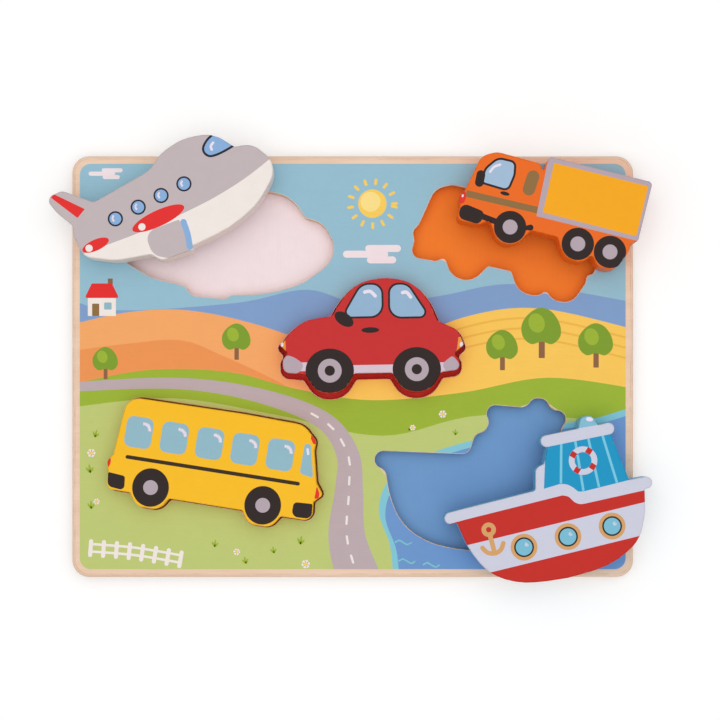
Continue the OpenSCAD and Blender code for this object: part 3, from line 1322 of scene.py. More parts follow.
@dataclass(frozen=True)
class PlyEdge:
    """Sanded edge of plywood, with its plies in turn light and dark."""

    name: str
    base: float
    ply: float
    dark: Shade = (0.56, 0.35, 0.20, 1.0)
    wobble: Corner = (9.0, 9.0, 3.0)
    wobble_plies: float = 0.16
    end_grain: Corner = (0.45, 0.45, 0.3)
    grain_sheen: float = 0.16
    grain_shade: float = 0.5
    dark_shade: float = 0.35
    glue_span: Point = (0.0, 0.07)
    glue_shade: float = 0.3
    roughness: float = 0.68
    relief: float = 0.3
    wood_height: float = 0.5
    grain_height: float = 0.6
    glue_depth: float = 0.3

    def material(self) -> bpy.types.Material:
        """Makes the finish.

        Returns:
            The material, striped by height.
        """
        coat = Coat(self.name)
        wood, height = Birch().layers(coat, 0.0)
        place = coat.place()
        level = coat.out("ShaderNodeSeparateXYZ", None, {0: place}, "Z")
        wobble = coat.noise(place, self.wobble)
        end_grain = coat.noise(place, self.end_grain)
        count = (level - self.base * MM) / (self.ply * MM) + self.wobble_plies * (wobble - 0.5)
        dark_ply = count.math("FLOOR").math("MODULO", 2.0).math("ABSOLUTE")
        off_glue = count.math("PINGPONG", 0.5).step(*self.glue_span)
        stripe = dark_ply * (self.dark_shade + self.grain_shade * end_grain)
        amount = stripe + self.glue_shade * (1 - off_glue)
        rough = self.roughness + self.grain_sheen * (end_grain - 0.5)
        fibres = height * self.wood_height + end_grain * dark_ply * self.grain_height
        ridges = fibres + off_glue * self.glue_depth
        looks = {"Base Color": coat.mix(amount, wood, self.dark), "Roughness": rough}
        return coat.dress(self.relief, ridges, looks)


def settle(piece: bpy.types.Object, body: str, stands_for: Union[str, None] = None) -> None:
    """Sets a finished piece on its body and reports it.

    Args:
        piece: The piece, at the origin.
        body: The body that it moves with.
        stands_for: The solid that it replaces, if any.
    """
    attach(piece, body)
    if stands_for:
        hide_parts(stands_for)
    log.info("%s rides on %s, %d faces", piece.name, body, len(piece.data.polygons))


# The tray


@dataclass
class Tray:
    """Plywood tray: a printed front board with five pockets, and a back board with their tinted floors."""

    body: str = "tray"
    front_ease: float = 1.8
    pocket_ease: float = 0.3
    back_ease: float = 1.0
    glued_ease: float = 0.05
    front_plies: int = 5
    back_plies: int = 3
    print_margin: float = 4.2
    print_corner: float = 6.0
    floor_margin: float = 0.6
    # The truck's, car's and bus's floor inks are real tints inked lighter than their paint, as painted light
    # in the pockets and gaps.
    floors: dict[Ink, Point] = field(default_factory=lambda: {
        Ink.CLOUD: (-70, 66), Ink.ORANGE_FLOOR_PAINTED_LIGHT: (86, 62), Ink.RED_FLOOR_PAINTED_LIGHT: (10, 14),
        Ink.YELLOW_SIDE_PAINTED_LIGHT: (-74, -50), Ink.BOAT_FLOOR: (68, -62)})
    sun: Point = (10.5, 87.0)
    sun_radius: float = 7.6
    sun_rays: int = 14
    ray_gap: float = 4.2
    sun_core: float = 0.7
    core_shift: float = 1.0
    hill_foot: float = -20.0
    field_foot: float = -40.0
    grass_foot: float = -80.0
    meadow_foot: float = -118.0
    far_hill: tuple[Point, ...] = (
        (-152, 36), (-125, 30), (-62, 34), (-24, 41), (8, 32), (48, 38), (88, 44), (152, 34))
    clay: tuple[Point, ...] = ((-152, 22), (-120, 29), (-88, 30), (-50, 22), (-12, 8), (20, -6))
    clay_dark: tuple[Point, ...] = ((-152, 8), (-122, 12), (-92, 14), (-70, 6), (-40, -8), (-20, -20))
    wheat: tuple[Point, ...] = ((-10, -6), (25, 12), (62, 27), (100, 31), (150, 20))
    furrows: tuple[float, ...] = (5.5, 11.0, 16.5)
    furrow_width: float = 1.1
    furrow_start: int = 10
    grass: tuple[Point, ...] = (
        (-152, -10), (-110, -2), (-66, -3), (-30, -12), (10, -18), (58, -14), (104, -6), (152, -12))
    meadow: tuple[Point, ...] = ((-152, -22), (-96, -17), (-40, -26), (16, -37), (70, -26), (152, -30))
    road: tuple[Corner, ...] = (
        (5, -118, 24), (-3, -92, 20), (-2, -66, 15), (-3, -46, 12), (-17, -28, 9.5),
        (-52, -15, 7.5), (-95, -9, 6), (-152, -11, 5))
    lane_low: float = -104.0
    lane_high: float = -26.0
    bank: tuple[Point, ...] = (
        (154, -20), (128, -28), (100, -32), (70, -38), (40, -47), (20, -60), (14, -77), (20, -96), (22, -118))
    shallows: Point = (3.4, -2.6)
    river_corner: Point = (154, -118)
    ripples: tuple[Point, ...] = ((27, -94), (29, -104), (42, -106))
    ripple: tuple[Point, ...] = ((-4.5, 0), (-2.2, 1.1), (0, 0), (2.2, -1.1), (4.5, 0))
    fence: tuple[Point, ...] = ((-140, -97), (-116, -99), (-92, -103))
    fence_rails: tuple[float, ...] = (-1.8, 2.2)
    rail_width: float = 1.3
    clouds: tuple[Corner, ...] = ((12, 60, 0.85), (-131, 103, 0.5))
    cloud_streaks: tuple[Corner, ...] = ((-6, 0, 12), (5, 3.6, 9), (4, -3.6, 7))
    streak_width: float = 4.4
    cottage: Point = (-134, 27)
    trees: tuple[Corner, ...] = (
        (80, 4, 1.0), (101, 12, 1.25), (130, 6, 1.1), (-62, 9, 0.9), (-132, -2, 0.8))
    crown: tuple[Point, ...] = (
        (-8, 3), (-4.5, 0), (0, 1), (4.5, 0), (8, 3.5), (7.5, 9), (4, 14), (-1, 15.5), (-6, 12.5), (-8.6, 8))
    flower_beds: tuple[tuple[Point, ...], ...] = (
        ((-86, -106), (-22, -106), (-22, -94), (-60, -92), (-86, -90)),
        ((22, -30), (56, -24), (56, -42), (30, -44), (20, -41)),
        ((-145, -84), (-134, -84), (-134, -34), (-145, -34)))

    def print_area(self) -> Loop:
        """Outline of the print.

        Returns:
            A rectangle with round corners, inside a bare rim.
        """
        low, high = (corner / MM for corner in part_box("front_board"))
        gap = self.print_margin
        corners = box_corners((low.x + gap, low.y + gap), (high.x - gap, high.y - gap), self.print_corner)
        return rounded(corners)

    def _cloud(self, x: float, y: float, size: float) -> list[Patch]:
        """Long flat cloud of streaks.

        Args:
            x: Place of the cloud across.
            y: Place of the cloud up.
            size: Its scale.

        Returns:
            The streaks.
        """
        patches = []
        for dx, dy, reach in self.cloud_streaks:
            ends = [(x + (dx + side * reach) * size, y + dy * size) for side in (-1, 1)]
            patches.append(Patch(Ink.CLOUD, stroke(ends, self.streak_width * size)))
        return patches

    def _tree(self, x: float, y: float, size: float) -> list[Patch]:
        """Broad tree with a round crown.

        Args:
            x: Place of the tree across.
            y: Place of the tree up.
            size: Its scale.

        Returns:
            Trunk, crown and the light on the crown.
        """
        trunk = rounded(box_corners((x - 1.3 * size, y - 6 * size), (x + 1.3 * size, y + 2 * size), 0.3))
        crown = smooth([(x + dx * size, y + dy * size) for dx, dy in self.crown], True)
        light = ellipse((x - 2.2 * size, y + 9 * size), 3.4 * size, 4.2 * size, 20)
        return [Patch(Ink.TRUNK, trunk), Patch(Ink.GRASS_DARK, crown), Patch(Ink.GRASS, light)]

    def _cottage(self, x: float, y: float) -> list[Patch]:
        """Small cottage.

        Args:
            x: Place of its middle.
            y: Place of its foot.

        Returns:
            Chimney, wall, roof, door and window.
        """
        eaves, ridge = y + 9.6, y + 17.4
        roof = [(x - 9.2, eaves, 0.8), (x + 9.2, eaves, 0.8), (x + 5.4, ridge, 0.8), (x - 5.4, ridge, 0.8)]
        return [
            Patch(Ink.TRUNK, rounded(box_corners((x + 3.2, y + 10), (x + 5.8, y + 20), 0.2))),
            Patch(Ink.CREAM, rounded(box_corners((x - 7.5, y), (x + 7.5, y + 11), 0.3))),
            Patch(Ink.WING, rounded(roof)),
            Patch(Ink.BROWN, rounded(box_corners((x - 5.2, y), (x - 1.4, y + 6.6), 0.4))),
            Patch(Ink.GLASS_BUS, rounded(box_corners((x + 1.2, y + 3.4), (x + 5.2, y + 7.2), 0.5))),
        ]

    def _road_line(self) -> Loop:
        """Middle line of the road."""
        return smooth([(x, y) for x, y, _ in self.road])

    def landscape(self) -> list[Patch]:
        """The picture on the front board: hills, a road, a river, trees and a cottage under a sunny sky.

        Returns:
            The areas of ink, the lowest first.
        """
        widths = [width for width, _ in smooth([(width, 0) for _, _, width in self.road])]
        bank = smooth(self.bank)
        inner = [(x + self.shallows[0], y + self.shallows[1]) for x, y in bank]
        ridge = smooth(self.wheat)[self.furrow_start:]
        radius = self.sun_radius
        core = (self.sun[0] - self.core_shift, self.sun[1] + self.core_shift)
        return [
            *(patch for cloud in self.clouds for patch in self._cloud(*cloud)),
            Patch(Ink.SUN, ellipse(self.sun, radius, radius)),
            Patch(Ink.SUN_PALE, ellipse(core, self.sun_core * radius, self.sun_core * radius)),
            Patch(Ink.FAR_HILL, hill(self.far_hill, self.hill_foot)),
            Patch(Ink.CLAY, hill(self.clay, self.field_foot)),
            Patch(Ink.CLAY_DARK, hill(self.clay_dark, self.field_foot)),
            Patch(Ink.WHEAT, hill(self.wheat, self.field_foot)),
            *(Patch(Ink.FURROW, stroke([(x, y - drop) for x, y in ridge], self.furrow_width))
              for drop in self.furrows),
            *self._cottage(*self.cottage),
            Patch(Ink.GRASS, hill(self.grass, self.grass_foot)),
            Patch(Ink.MEADOW, hill(self.meadow, self.meadow_foot)),
            Patch(Ink.ROAD, ribbon(self._road_line(), widths)),
            Patch(Ink.WATER_PALE, [*bank, self.river_corner]),
            Patch(Ink.WATER, [*inner, self.river_corner]),
            *(patch for tree in self.trees for patch in self._tree(*tree)),
            *(Patch(Ink.CREAM, stroke([(x, y + rise) for x, y in smooth(self.fence)], self.rail_width))
              for rise in self.fence_rails),
        ]

    def front_board(self, finish: bpy.types.Material) -> bpy.types.Object:
        """The front board: printed face, bare rim and open pockets.

        Args:
            finish: Material of its faces.

        Returns:
            The board.
        """
        low, high = (corner.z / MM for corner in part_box("front_board"))
        outer, *pockets = node_loops("front_board")
        holes = [Edge(loop, self.pocket_ease) for loop in pockets]
        picture = Print(Ink.SKY, self.landscape(), self.print_area())
        shell = Shell()
        rows = shell.lay_face(high, Edge(outer, self.front_ease), holes, picture, rim_slot=1)
        shell.close_below([shell.skirt(row, [(0, low, 0)], Ink.BIRCH, 1) for row in rows], Ink.BIRCH)
        edge_finish = PlyEdge("front_ply_edge", low, (high - low) / self.front_plies).material()
        return shell.piece("front_board_printed", [finish, edge_finish])

    def back_board(self) -> bpy.types.Object:
        """The back board: tinted pocket floors above, plain wood below.

        Returns:
            The board.
        """
        low, high = (corner.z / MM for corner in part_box("back_board"))
        floors = []
        for loop in node_loops("front_board")[1:]:
            middle = np.array(loop).mean(0)
            ink = min(self.floors, key=lambda shade: np.hypot(*(middle - self.floors[shade])))
            floors.append(Patch(ink, moved_aside(loop, -self.floor_margin)))
        shell = Shell()
        outer = Edge(node_loops("back_board")[0], self.glued_ease)
        rows = shell.lay_face(high, outer, [], Print(Ink.BIRCH, floors))
        foot = shell.skirt(rows[0], eased_foot(low, self.back_ease, wear=1.0), Ink.BIRCH, 1)
        shell.close_below([foot], Ink.BIRCH)
        face = InkedWood("tinted_birch", turn=90, sheen=0.52, grain_shows=0.08, wear=0.0).material()
        edge_finish = PlyEdge("back_ply_edge", low, (high - low) / self.back_plies).material()
        return shell.piece("back_board_tinted", [face, edge_finish])

    def motifs(self, finish: bpy.types.Material) -> list[bpy.types.Object]:
        """Repeated motifs of the picture, each printed by one stamp.

        Args:
            finish: Material of the films.

        Returns:
            The films.
        """
        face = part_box("front_board")[1].z / MM
        reach = self.sun_radius + self.ray_gap
        ray_pitch = 2 * math.pi * reach / self.sun_rays
        rays = Bars(length=3.6, width=1.5, pitch=ray_pitch, ink=Ink.SUN, lie=Lie.ACROSS)
        lane_marks = Bars(length=5.0, width=1.2, pitch=9.5, ink=Ink.ROAD_LINE)
        palings = Bars(length=9.5, width=2.2, pitch=6.4, ink=Ink.CREAM, lie=Lie.ACROSS)
        ripples = Lines(width=1.0, ink=Ink.WATER_PALE)
        lane = [(x, y) for x, y in self._road_line() if self.lane_low < y < self.lane_high]
        waves = [smooth([(x + dx, y + dy) for dx, dy in self.ripple]) for x, y in self.ripples]
        tufts = Growth(Sprig.TUFT, size=4.4, apart=11.0, seed=3, leaf=Ink.GRASS)
        daisies = Growth(Sprig.DAISY, size=4.2, apart=15.0, seed=11, leaf=Ink.CREAM)
        return [
            rays.press("sun_rays", [ellipse(self.sun, reach, reach)], face, finish),
            lane_marks.press("lane_marks", [lane], face, finish),
            palings.press("palings", [smooth(self.fence)], face, finish),
            ripples.press("ripples", waves, face, finish),
            tufts.press("grass_tufts", self.flower_beds, face, finish),
            daisies.press("daisies", self.flower_beds, face, finish),
        ]

    def build(self) -> None:
        """Builds and dresses the tray, and sets it on its body."""
        finish = InkedWood("printed_birch", sheen=0.5, grain_shows=0.07, wear=0.3).material()
        settle(self.front_board(finish), self.body, "front_board")
        settle(self.back_board(), self.body, "back_board")
        for motif in self.motifs(finish):
            settle(motif, self.body)


# The vehicles


@dataclass
class Vehicle:
    """Thick wooden block with a printed face and painted sides, in a frame of its own on the tray."""

    node: str
    place: Point
    turn: float
    base: Ink
    side: Ink
    ease: float = 0.8
    worn_depth: float = 1.2
    foot_wear: float = 0.5

    @property
    def face(self) -> float:
        """Height of the printed face."""
        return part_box(self.node)[1].z / MM

    def on_tray(self, loop: Iterable[Point]) -> Loop:
        """Points of the vehicle's own frame, in the tray's frame."""
        spots = (turned(point, self.turn) for point in loop)
        return [(x + self.place[0], y + self.place[1]) for x, y in spots]

    def patches(self) -> list[Patch]:
        """Areas of ink on the face, in the vehicle's own frame, the lowest first."""
        return []

    def films(self, finish: bpy.types.Material) -> list[bpy.types.Object]:
        """Repeated motifs on the face."""
        return []

    def build(self) -> None:
        """Builds and dresses the vehicle, and sets it on its body."""
        low, high = (corner.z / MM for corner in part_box(self.node))
        shell = Shell()
        patches = [Patch(patch.ink, self.on_tray(patch.loop)) for patch in self.patches()]
        outer = Edge(node_loops(self.node)[0], self.ease)
        rows = shell.lay_face(high, outer, [], Print(self.base, patches))
        steps = [(0.0, high - self.ease - self.worn_depth, 0.0), *eased_foot(low, self.ease, self.foot_wear)]
        shell.close_below([shell.skirt(rows[0], steps, self.side)], self.side)
        slot = self.node + "_paint"
        finish = InkedWood(slot, turn=self.turn).material()
        settle(shell.piece(self.node + "_block", [finish]), self.node, self.node)
        for film in self.films(finish):
            settle(film, self.node)


@dataclass
class RoadVehicle(Vehicle):
    """Vehicle with printed wheels along its own X axis."""

    wheels: tuple[float, ...] = ()
    tyre: Point = (0.0, 0.0)
    hub: tuple[tuple[float, Ink], ...] = ()

    def tyres(self) -> list[Patch]:
        """The tyres."""
        return [Patch(Ink.BLACK, ellipse((x, 0), *self.tyre)) for x in self.wheels]

    def films(self, finish: bpy.types.Material) -> list[bpy.types.Object]:
        """Wheel hubs."""
        spots = self.on_tray((x, 0) for x in self.wheels)
        return [Roundels(self.hub).press(self.node + "_hubs", spots, self.face, self.turn, finish)]


@dataclass
class Plane(Vehicle):
    """Aeroplane, nose to the right."""

    node: str = "plane"
    place: Point = (-106.35, 85.84)
    turn: float = 27.0
    base: Ink = Ink.GREY
    side: Ink = Ink.CREAM
    windows: int = 4
    window_pitch: float = 13.45
    window_height: float = 0.1
    window_radius: float = 4.0
    window_frame: float = 0.9
    window_glint: Glint = Glint(place=(0.3, 0.1), radius=1.7, start=98, sweep=118, width=1.15)

    def patches(self) -> list[Patch]:
        """Belly, engine, wing, tailplane, fin stripe and cockpit.

        Returns:
            The areas of ink, the lowest first.
        """
        waterline = smooth([(-52, -8), (-42.5, -8.7), (-29.6, -10.2), (-14.2, -11.9), (0, -13), (15, -13.5),
                            (31, -13.5), (49.4, -11.9), (65.6, -8.8), (74, -6.5)])
        engine = [(9.6, -15.4, 1), (-9.9, -13.2, 6), (-11.4, -26, 8), (-3, -32.2, 4), (-3, -36, 0),
                  (7, -36, 0)]
        stripe = [(-45.4, 25.5, 0.6), (-37.7, 9.5, 0.4), (-32.1, 11.9, 0.4), (-43, 26.2, 0.8)]
        sill = smooth([(45.6, 16.4), (41.4, 15.1), (38, 12.7), (37.1, 10), (38.4, 7.3), (41, 6.2), (46, 5.8),
                       (53.4, 6.2)])
        return [
            Patch(Ink.CREAM, [(-52, -45), (74, -45), *waterline[::-1]]),
            Patch(Ink.GREY, rounded(engine)),
            Patch(Ink.GLASS, stroke(smooth([(10.9, -17.6), (10, -24), (8, -30.7)]), 3.2)),
            Patch(Ink.WING, ellipse((0, -9.9), 14.9, 4.2, -2)),
            Patch(Ink.CREAM, ellipse((-9.7, -10), 1.9, 1.9)),
            Patch(Ink.WING, ellipse((-35.7, -7.5), 7.5, 2.9, -3)),
            Patch(Ink.CREAM, ellipse((-39.5, -7.4), 1.9, 1.9)),
            Patch(Ink.WING, rounded(stripe)),
            Patch(Ink.GLASS, [*sill, (54.6, 12), (48, 19)]),
            Patch(Ink.NAVY, stroke(sill, 1.2)),
            Patch(Ink.GLINT, stroke(smooth([(43.6, 12.4), (41.7, 11.3), (41.4, 9.5)]), 1.35)),
        ]

    def films(self, finish: bpy.types.Material) -> list[bpy.types.Object]:
        """Row of round windows.

        Args:
            finish: Material of the films.

        Returns:
            The films.
        """
        first = -(self.windows - 1) / 2
        row = self.on_tray(((first + i) * self.window_pitch, self.window_height) for i in range(self.windows))
        rings = ((self.window_radius, Ink.NAVY), (self.window_radius - self.window_frame, Ink.GLASS))
        stamp = Roundels(rings, self.window_glint)
        return [stamp.press("plane_windows", row, self.face, self.turn, finish)]


@dataclass
class Truck(RoadVehicle):
    """Lorry with a load bed, cab to the left."""

    node: str = "truck"
    place: Point = (108.9, 65.93)
    turn: float = -14.0
    base: Ink = Ink.ORANGE
    side: Ink = Ink.ORANGE
    wheels: tuple[float, ...] = (-27.0, 9.6, 27.0)
    tyre: Point = (8.5, 8.5)
    hub: tuple[tuple[float, Ink], ...] = ((3.9, Ink.HUB),)
    window_frame: float = 1.15

    def patches(self) -> list[Patch]:
        """Load bed, stripe, bumper, wheels, lamp, window, mirror and handle.

        Returns:
            The areas of ink, the lowest first.
        """
        bed_rim = [(-15, 8.9, 0.4), (44, 9.1, 0), (44, 45, 0), (-16.4, 45, 0)]
        bed = [(-12.2, 11.6, 0.3), (38.5, 11.3, 1.6), (38.1, 38.3, 1), (-12.7, 38.2, 0.3)]
        stripe = [(-53.4, 9.8, 0.3), (-15.2, 10.3, 0.2), (-15.4, 13.8, 0.2), (-53.8, 13.3, 0.3)]
        bumper = [(-54.9, -2.1, 3.4), (-43, -2.6, 3), (-41.2, 4.4, 2.8), (-54.6, 6.4, 3.4)]
        window = [(-46.4, 19.5, 1.2), (-33.2, 18.9, 2.6), (-31.9, 27, 8), (-33, 33.2, 2.4), (-41.6, 33.1, 5),
                  (-46.6, 26.2, 6)]
        return [
            Patch(Ink.LILAC, rounded(bed_rim)),
            Patch(Ink.LOAD, rounded(bed)),
            Patch(Ink.BROWN, rounded(stripe)),
            Patch(Ink.BLACK, rounded(bumper)),
            Patch(Ink.BLACK, stroke([(-42.5, 1.9), (-33, 0.7)], 3.1)),
            Patch(Ink.BLACK, ribbon([(-21, 0.6), (-18.6, 1.6), (-16.6, 2.3)], [2.4, 2.4, 3.2])),
            *self.tyres(),
            Patch(Ink.LAMP, ellipse((-54.9, 9.1), 1.7, 3.4)),
            Patch(Ink.GLINT, ellipse((-55.1, 9.9), 0.5, 0.8)),
            Patch(Ink.BLACK, rounded(grown(window, self.window_frame))),
            Patch(Ink.GLASS_TRUCK, rounded(window)),
            Patch(Ink.GLINT, stroke(smooth([(-44.2, 25.6), (-42.7, 28.6), (-40, 30.5)]), 1.3)),
            Patch(Ink.BLACK, stroke([(-48.5, 23), (-48.3, 18.8)], 4.6)),
            Patch(Ink.BLACK, ellipse((-33.9, 16.4), 2.5, 1)),
            Patch(Ink.BROWN, stroke([(-21.7, 28.6), (-22.2, 21.6)], 6.5)),
        ]


@dataclass
class Car(RoadVehicle):
    """Saloon car, bonnet to the left."""

    node: str = "car"
    place: Point = (10.95, -2.25)
    turn: float = 1.0
    base: Ink = Ink.RED
    # The car's walls are inked lighter than its red face, as painted light in the gap round the car.
    side: Ink = Ink.RED_SIDE_PAINTED_LIGHT
    wheels: tuple[float, ...] = (-23.0, 23.0)
    tyre: Point = (12.8, 11.7)
    hub: tuple[tuple[float, Ink], ...] = ((6.3, Ink.HUB), (2.7, Ink.BLACK))
    window_frame: float = 1.05

    def patches(self) -> list[Patch]:
        """Sill, bumpers, wheels, lamps, windows, mirror and handle.

        Returns:
            The areas of ink, the lowest first.
        """
        front_trim = [(-39, 0, 0), (-34, 0, 0), (-34, 4.6, 0), (-38.4, 4.6, 0)]
        rear_trim = [(34, -2.4, 0), (38.8, -1.2, 0), (38, 3.4, 0), (34, 3.4, 0)]
        front_bumper = [(-46.8, 0.4), (-42.4, -1.4), (-38.4, 0.2), (-37.2, 3.5), (-40.6, 6.6), (-44.5, 8.3),
                        (-46.7, 7.3), (-47.7, 4.9)]
        rear_bumper = [(38.2, -0.9), (40.6, -2.2), (44.8, -0.2), (45.2, 2.7), (42.4, 6.2), (40.2, 5.6),
                       (37, 2.4)]
        front_lamp = [(-52, 10, 0), (-46, 10.4, 0.5), (-46.2, 17.2, 0.5), (-52, 19, 0)]
        rear_lamp = [(44.2, 8.6, 0.5), (52, 9, 0), (52, 17, 0), (45.3, 16.6, 0.5)]
        windows = (
            [(-15.4, 28.4, 2.6), (5, 28.4, 6), (5, 45, 5), (-5.5, 45, 7)],
            [(9.4, 27.9, 6), (29.5, 27.9, 2.4), (18.7, 44.8, 6), (9.6, 44.8, 5)],
        )
        shines = ([(-3.8, 41.2), (-0.9, 41.5), (1.7, 39.1)], [(16.2, 40.6), (18.3, 40.7), (20.4, 38.2)])
        return [
            Patch(Ink.SILL, rounded(box_corners((-13, -1.9), (13, 2.7)))),
            Patch(Ink.SILL, rounded(front_trim)),
            Patch(Ink.SILL, rounded(rear_trim)),
            *self.tyres(),
            Patch(Ink.LILAC, smooth(front_bumper, True)),
            Patch(Ink.LILAC, smooth(rear_bumper, True)),
            Patch(Ink.AMBER, rounded(front_lamp)),
            Patch(Ink.GLINT, ellipse((-48.3, 14.3), 1.0, 1.5)),
            Patch(Ink.AMBER, rounded(rear_lamp)),
            Patch(Ink.GLINT, ellipse((46.9, 12.6), 1.0, 1.4)),
            *(Patch(Ink.BLACK, rounded(grown(window, self.window_frame))) for window in windows),
            *(Patch(Ink.GLASS_CAR, rounded(window)) for window in windows),
            *(Patch(Ink.GLINT, stroke(smooth(shine), 1.8)) for shine in shines),
            Patch(Ink.BLACK, ellipse((-15, 27.1), 5.6, 3.3, -34)),
            Patch(Ink.BLACK, ellipse((-1.2, 21.1), 4.7, 1.5)),
        ]


@dataclass
class Bus(RoadVehicle):
    """Bus, front to the right."""

    node: str = "bus"
    place: Point = (-77.1, -69.08)
    turn: float = -9.0
    base: Ink = Ink.YELLOW
    # The bus's walls are inked lighter than their paint, as painted light in the gap round the bus.
    side: Ink = Ink.YELLOW_SIDE_PAINTED_LIGHT
    wheels: tuple[float, ...] = (-30.0, 30.0)
    tyre: Point = (9.7, 10.2)
    hub: tuple[tuple[float, Ink], ...] = ((3.9, Ink.HUB),)
    windows: int = 5
    window_pitch: float = 18.9
    window_height: float = 27.8
    first_window: float = -40.6
    panes: Panes = Panes(
        width=14.2, height=16.4, corner=3.6, ink=Ink.GLASS_BUS,
        glint=Glint(place=(2.3, 1.7), radius=3.2, start=-4, sweep=108, width=1.8))

    def patches(self) -> list[Patch]:
        """Stripe, quarter window, wheels, bumpers and lamps.

        Returns:
            The areas of ink, the lowest first.
        """
        quarter_window = [(46.6, 19.7, 2), (54, 18.4, 1), (50, 35.9, 1.2), (46.9, 35.6, 1.4)]
        rear_bumper = [(-52.6, -2.8, 3.2), (-43.5, -3.7, 2.2), (-44.3, 3.9, 1.4), (-53.5, 4.7, 0.8)]
        front_bumper = [(45.8, -3.6, 3.4), (56.6, -3.1, 3.2), (55.9, 4.8, 0.8), (45.9, 4.3, 2.2)]
        front_lamp = [(56.4, 7.6, 0.4), (58.6, 8.2, 1), (58.7, 10.8, 1.6), (56.6, 14.6, 0.3)]
        roof_lamp = [(49.6, 38.8, 0.5), (51.3, 36.1, 0.5), (54, 36.6, 0), (49.6, 42.4, 0)]
        return [
            Patch(Ink.STRIPE, stroke([(-44.6, 14.1), (46.6, 14.2)], 2.0)),
            Patch(Ink.GLASS_BUS, rounded(quarter_window)),
            Patch(Ink.GLINT, stroke([(48.8, 32.9), (49.5, 30.6)], 1.3)),
            *self.tyres(),
            Patch(Ink.BLACK, rounded(rear_bumper)),
            Patch(Ink.BLACK, rounded(front_bumper)),
            Patch(Ink.LAMP, ellipse((-54.3, 10), 1.4, 2.9)),
            Patch(Ink.LAMP, rounded(front_lamp)),
            Patch(Ink.LAMP, rounded(roof_lamp)),
        ]

    def films(self, finish: bpy.types.Material) -> list[bpy.types.Object]:
        """Row of windows, and wheel hubs.

        Args:
            finish: Material of the films.

        Returns:
            The films.
        """
        places = (self.first_window + i * self.window_pitch for i in range(self.windows))
        row = self.on_tray((x, self.window_height) for x in places)
        windows = self.panes.press("bus_windows", row, self.face, self.turn, finish)
        return [windows, *super().films(finish)]


@dataclass
class Boat(Vehicle):
    """Little ship, bow to the left."""

    node: str = "boat"
    place: Point = (113.1, -90.11)
    turn: float = 13.5
    base: Ink = Ink.HULL_WHITE
    side: Ink = Ink.BOAT_SIDE
    portholes: tuple[float, ...] = (-23.7, 0.0, 23.8)
    porthole_height: float = 0.15
    porthole_rings: tuple[tuple[float, Ink], ...] = ((7.0, Ink.GOLD), (5.2, Ink.BLACK), (4.35, Ink.PORTHOLE))
    porthole_glint: Glint = Glint(
        place=(-0.7, -0.4), radius=2.6, start=9, sweep=44, width=2.0, ink=Ink.GLINT_SEA)
    lifebuoy: Point = (17.0, 37.1)
    lifebuoy_radius: float = 7.5
    lifebuoy_hole: float = 4.45
    plank_line: float = 1.3
    anchor_ring: Point = (-39.6, 13.4)

    def _lifebuoy(self) -> list[Patch]:
        """White ring with four red blocks, over the cabin's planks.

        Returns:
            The areas of ink, the lowest first.
        """
        x, y = self.lifebuoy
        middle = (self.lifebuoy_radius + self.lifebuoy_hole) / 2
        blocks = []
        for i in range(4):
            dx, dy = turned((middle, 0), 45 + 90 * i)
            ends = [(x + share * dx, y + share * dy) for share in (0.73, 1.25)]
            blocks.append(Patch(Ink.HULL_RED, stroke(ends, 3, False)))
        return [
            Patch(Ink.HULL_WHITE, ellipse(self.lifebuoy, self.lifebuoy_radius, self.lifebuoy_radius)),
            *blocks,
            Patch(Ink.CABIN, ellipse(self.lifebuoy, self.lifebuoy_hole, self.lifebuoy_hole)),
            Patch(Ink.PLANK, stroke([(14.9, 40.7), (14.4, 33.6)], self.plank_line, False)),
        ]

    def _anchor(self) -> list[Patch]:
        """Golden anchor.

        Returns:
            Ring, shank and arms.
        """
        arms = smooth([(-45, 4.9), (-43, 1.9), (-39.4, 0.6), (-35.9, 1.7), (-33.8, 4.7)])
        return [
            Patch(Ink.GOLD, ellipse(self.anchor_ring, 3.8, 3.8)),
            Patch(Ink.HULL_RED, ellipse(self.anchor_ring, 1.4, 1.4)),
            Patch(Ink.GOLD, stroke([(-39.6, 10.6), (-39.4, 1.4)], 2.5)),
            Patch(Ink.GOLD, stroke(arms, 2.4)),
        ]

    def patches(self) -> list[Patch]:
        """Hull bands, cabin with planks, lifebuoy, lamp dome and anchor.

        Returns:
            The areas of ink, the lowest first.
        """
        step = smooth([(2.2, 21.9), (5.2, 20.4), (7.6, 17), (10.6, 15.2), (15.4, 14.9)])
        sheer = [(-62, 21), (-50.4, 21.4), (2.2, 21.9), *step, (54, 14.3)]
        deck_step = smooth([(2, 28), (5.6, 27), (8.6, 24.6), (10.8, 22), (14, 21.3)])
        deck = [(-6.4, 27.5), *deck_step, (41, 21.6)]
        planks = (((7.9, 48.2), (2.9, 28.1)), ((15.4, 47.9), (13.5, 21.6)), ((22.4, 47.6), (21.9, 21.6)),
                  ((30, 47.4), (31.6, 21.7)))
        return [
            Patch(Ink.HULL_RED, [(-62, 8.1), (54, 8.4), *sheer[::-1]]),
            Patch(Ink.HULL_RED, [(-62, -30), (62, -30), (62, -8.1), (-62, -8.7)]),
            Patch(Ink.CABIN, [*deck, (40, 47.1), (-0.5, 48.5)]),
            *(Patch(Ink.PLANK, stroke(line, self.plank_line, False)) for line in planks),
            *self._lifebuoy(),
            Patch(Ink.DOME, [(15.5, 54.3), (31.5, 53.3), (31.5, 64), (15.5, 64)]),
            Patch(Ink.GLINT, ellipse((25.4, 57.4), 1.9, 1.1, -20)),
            *self._anchor(),
        ]

    def films(self, finish: bpy.types.Material) -> list[bpy.types.Object]:
        """Portholes in gold frames.

        Args:
            finish: Material of the films.

        Returns:
            The films.
        """
        spots = self.on_tray((x, self.porthole_height) for x in self.portholes)
        stamp = Roundels(self.porthole_rings, self.porthole_glint)
        return [stamp.press("boat_portholes", spots, self.face, self.turn, finish)]


# The studio


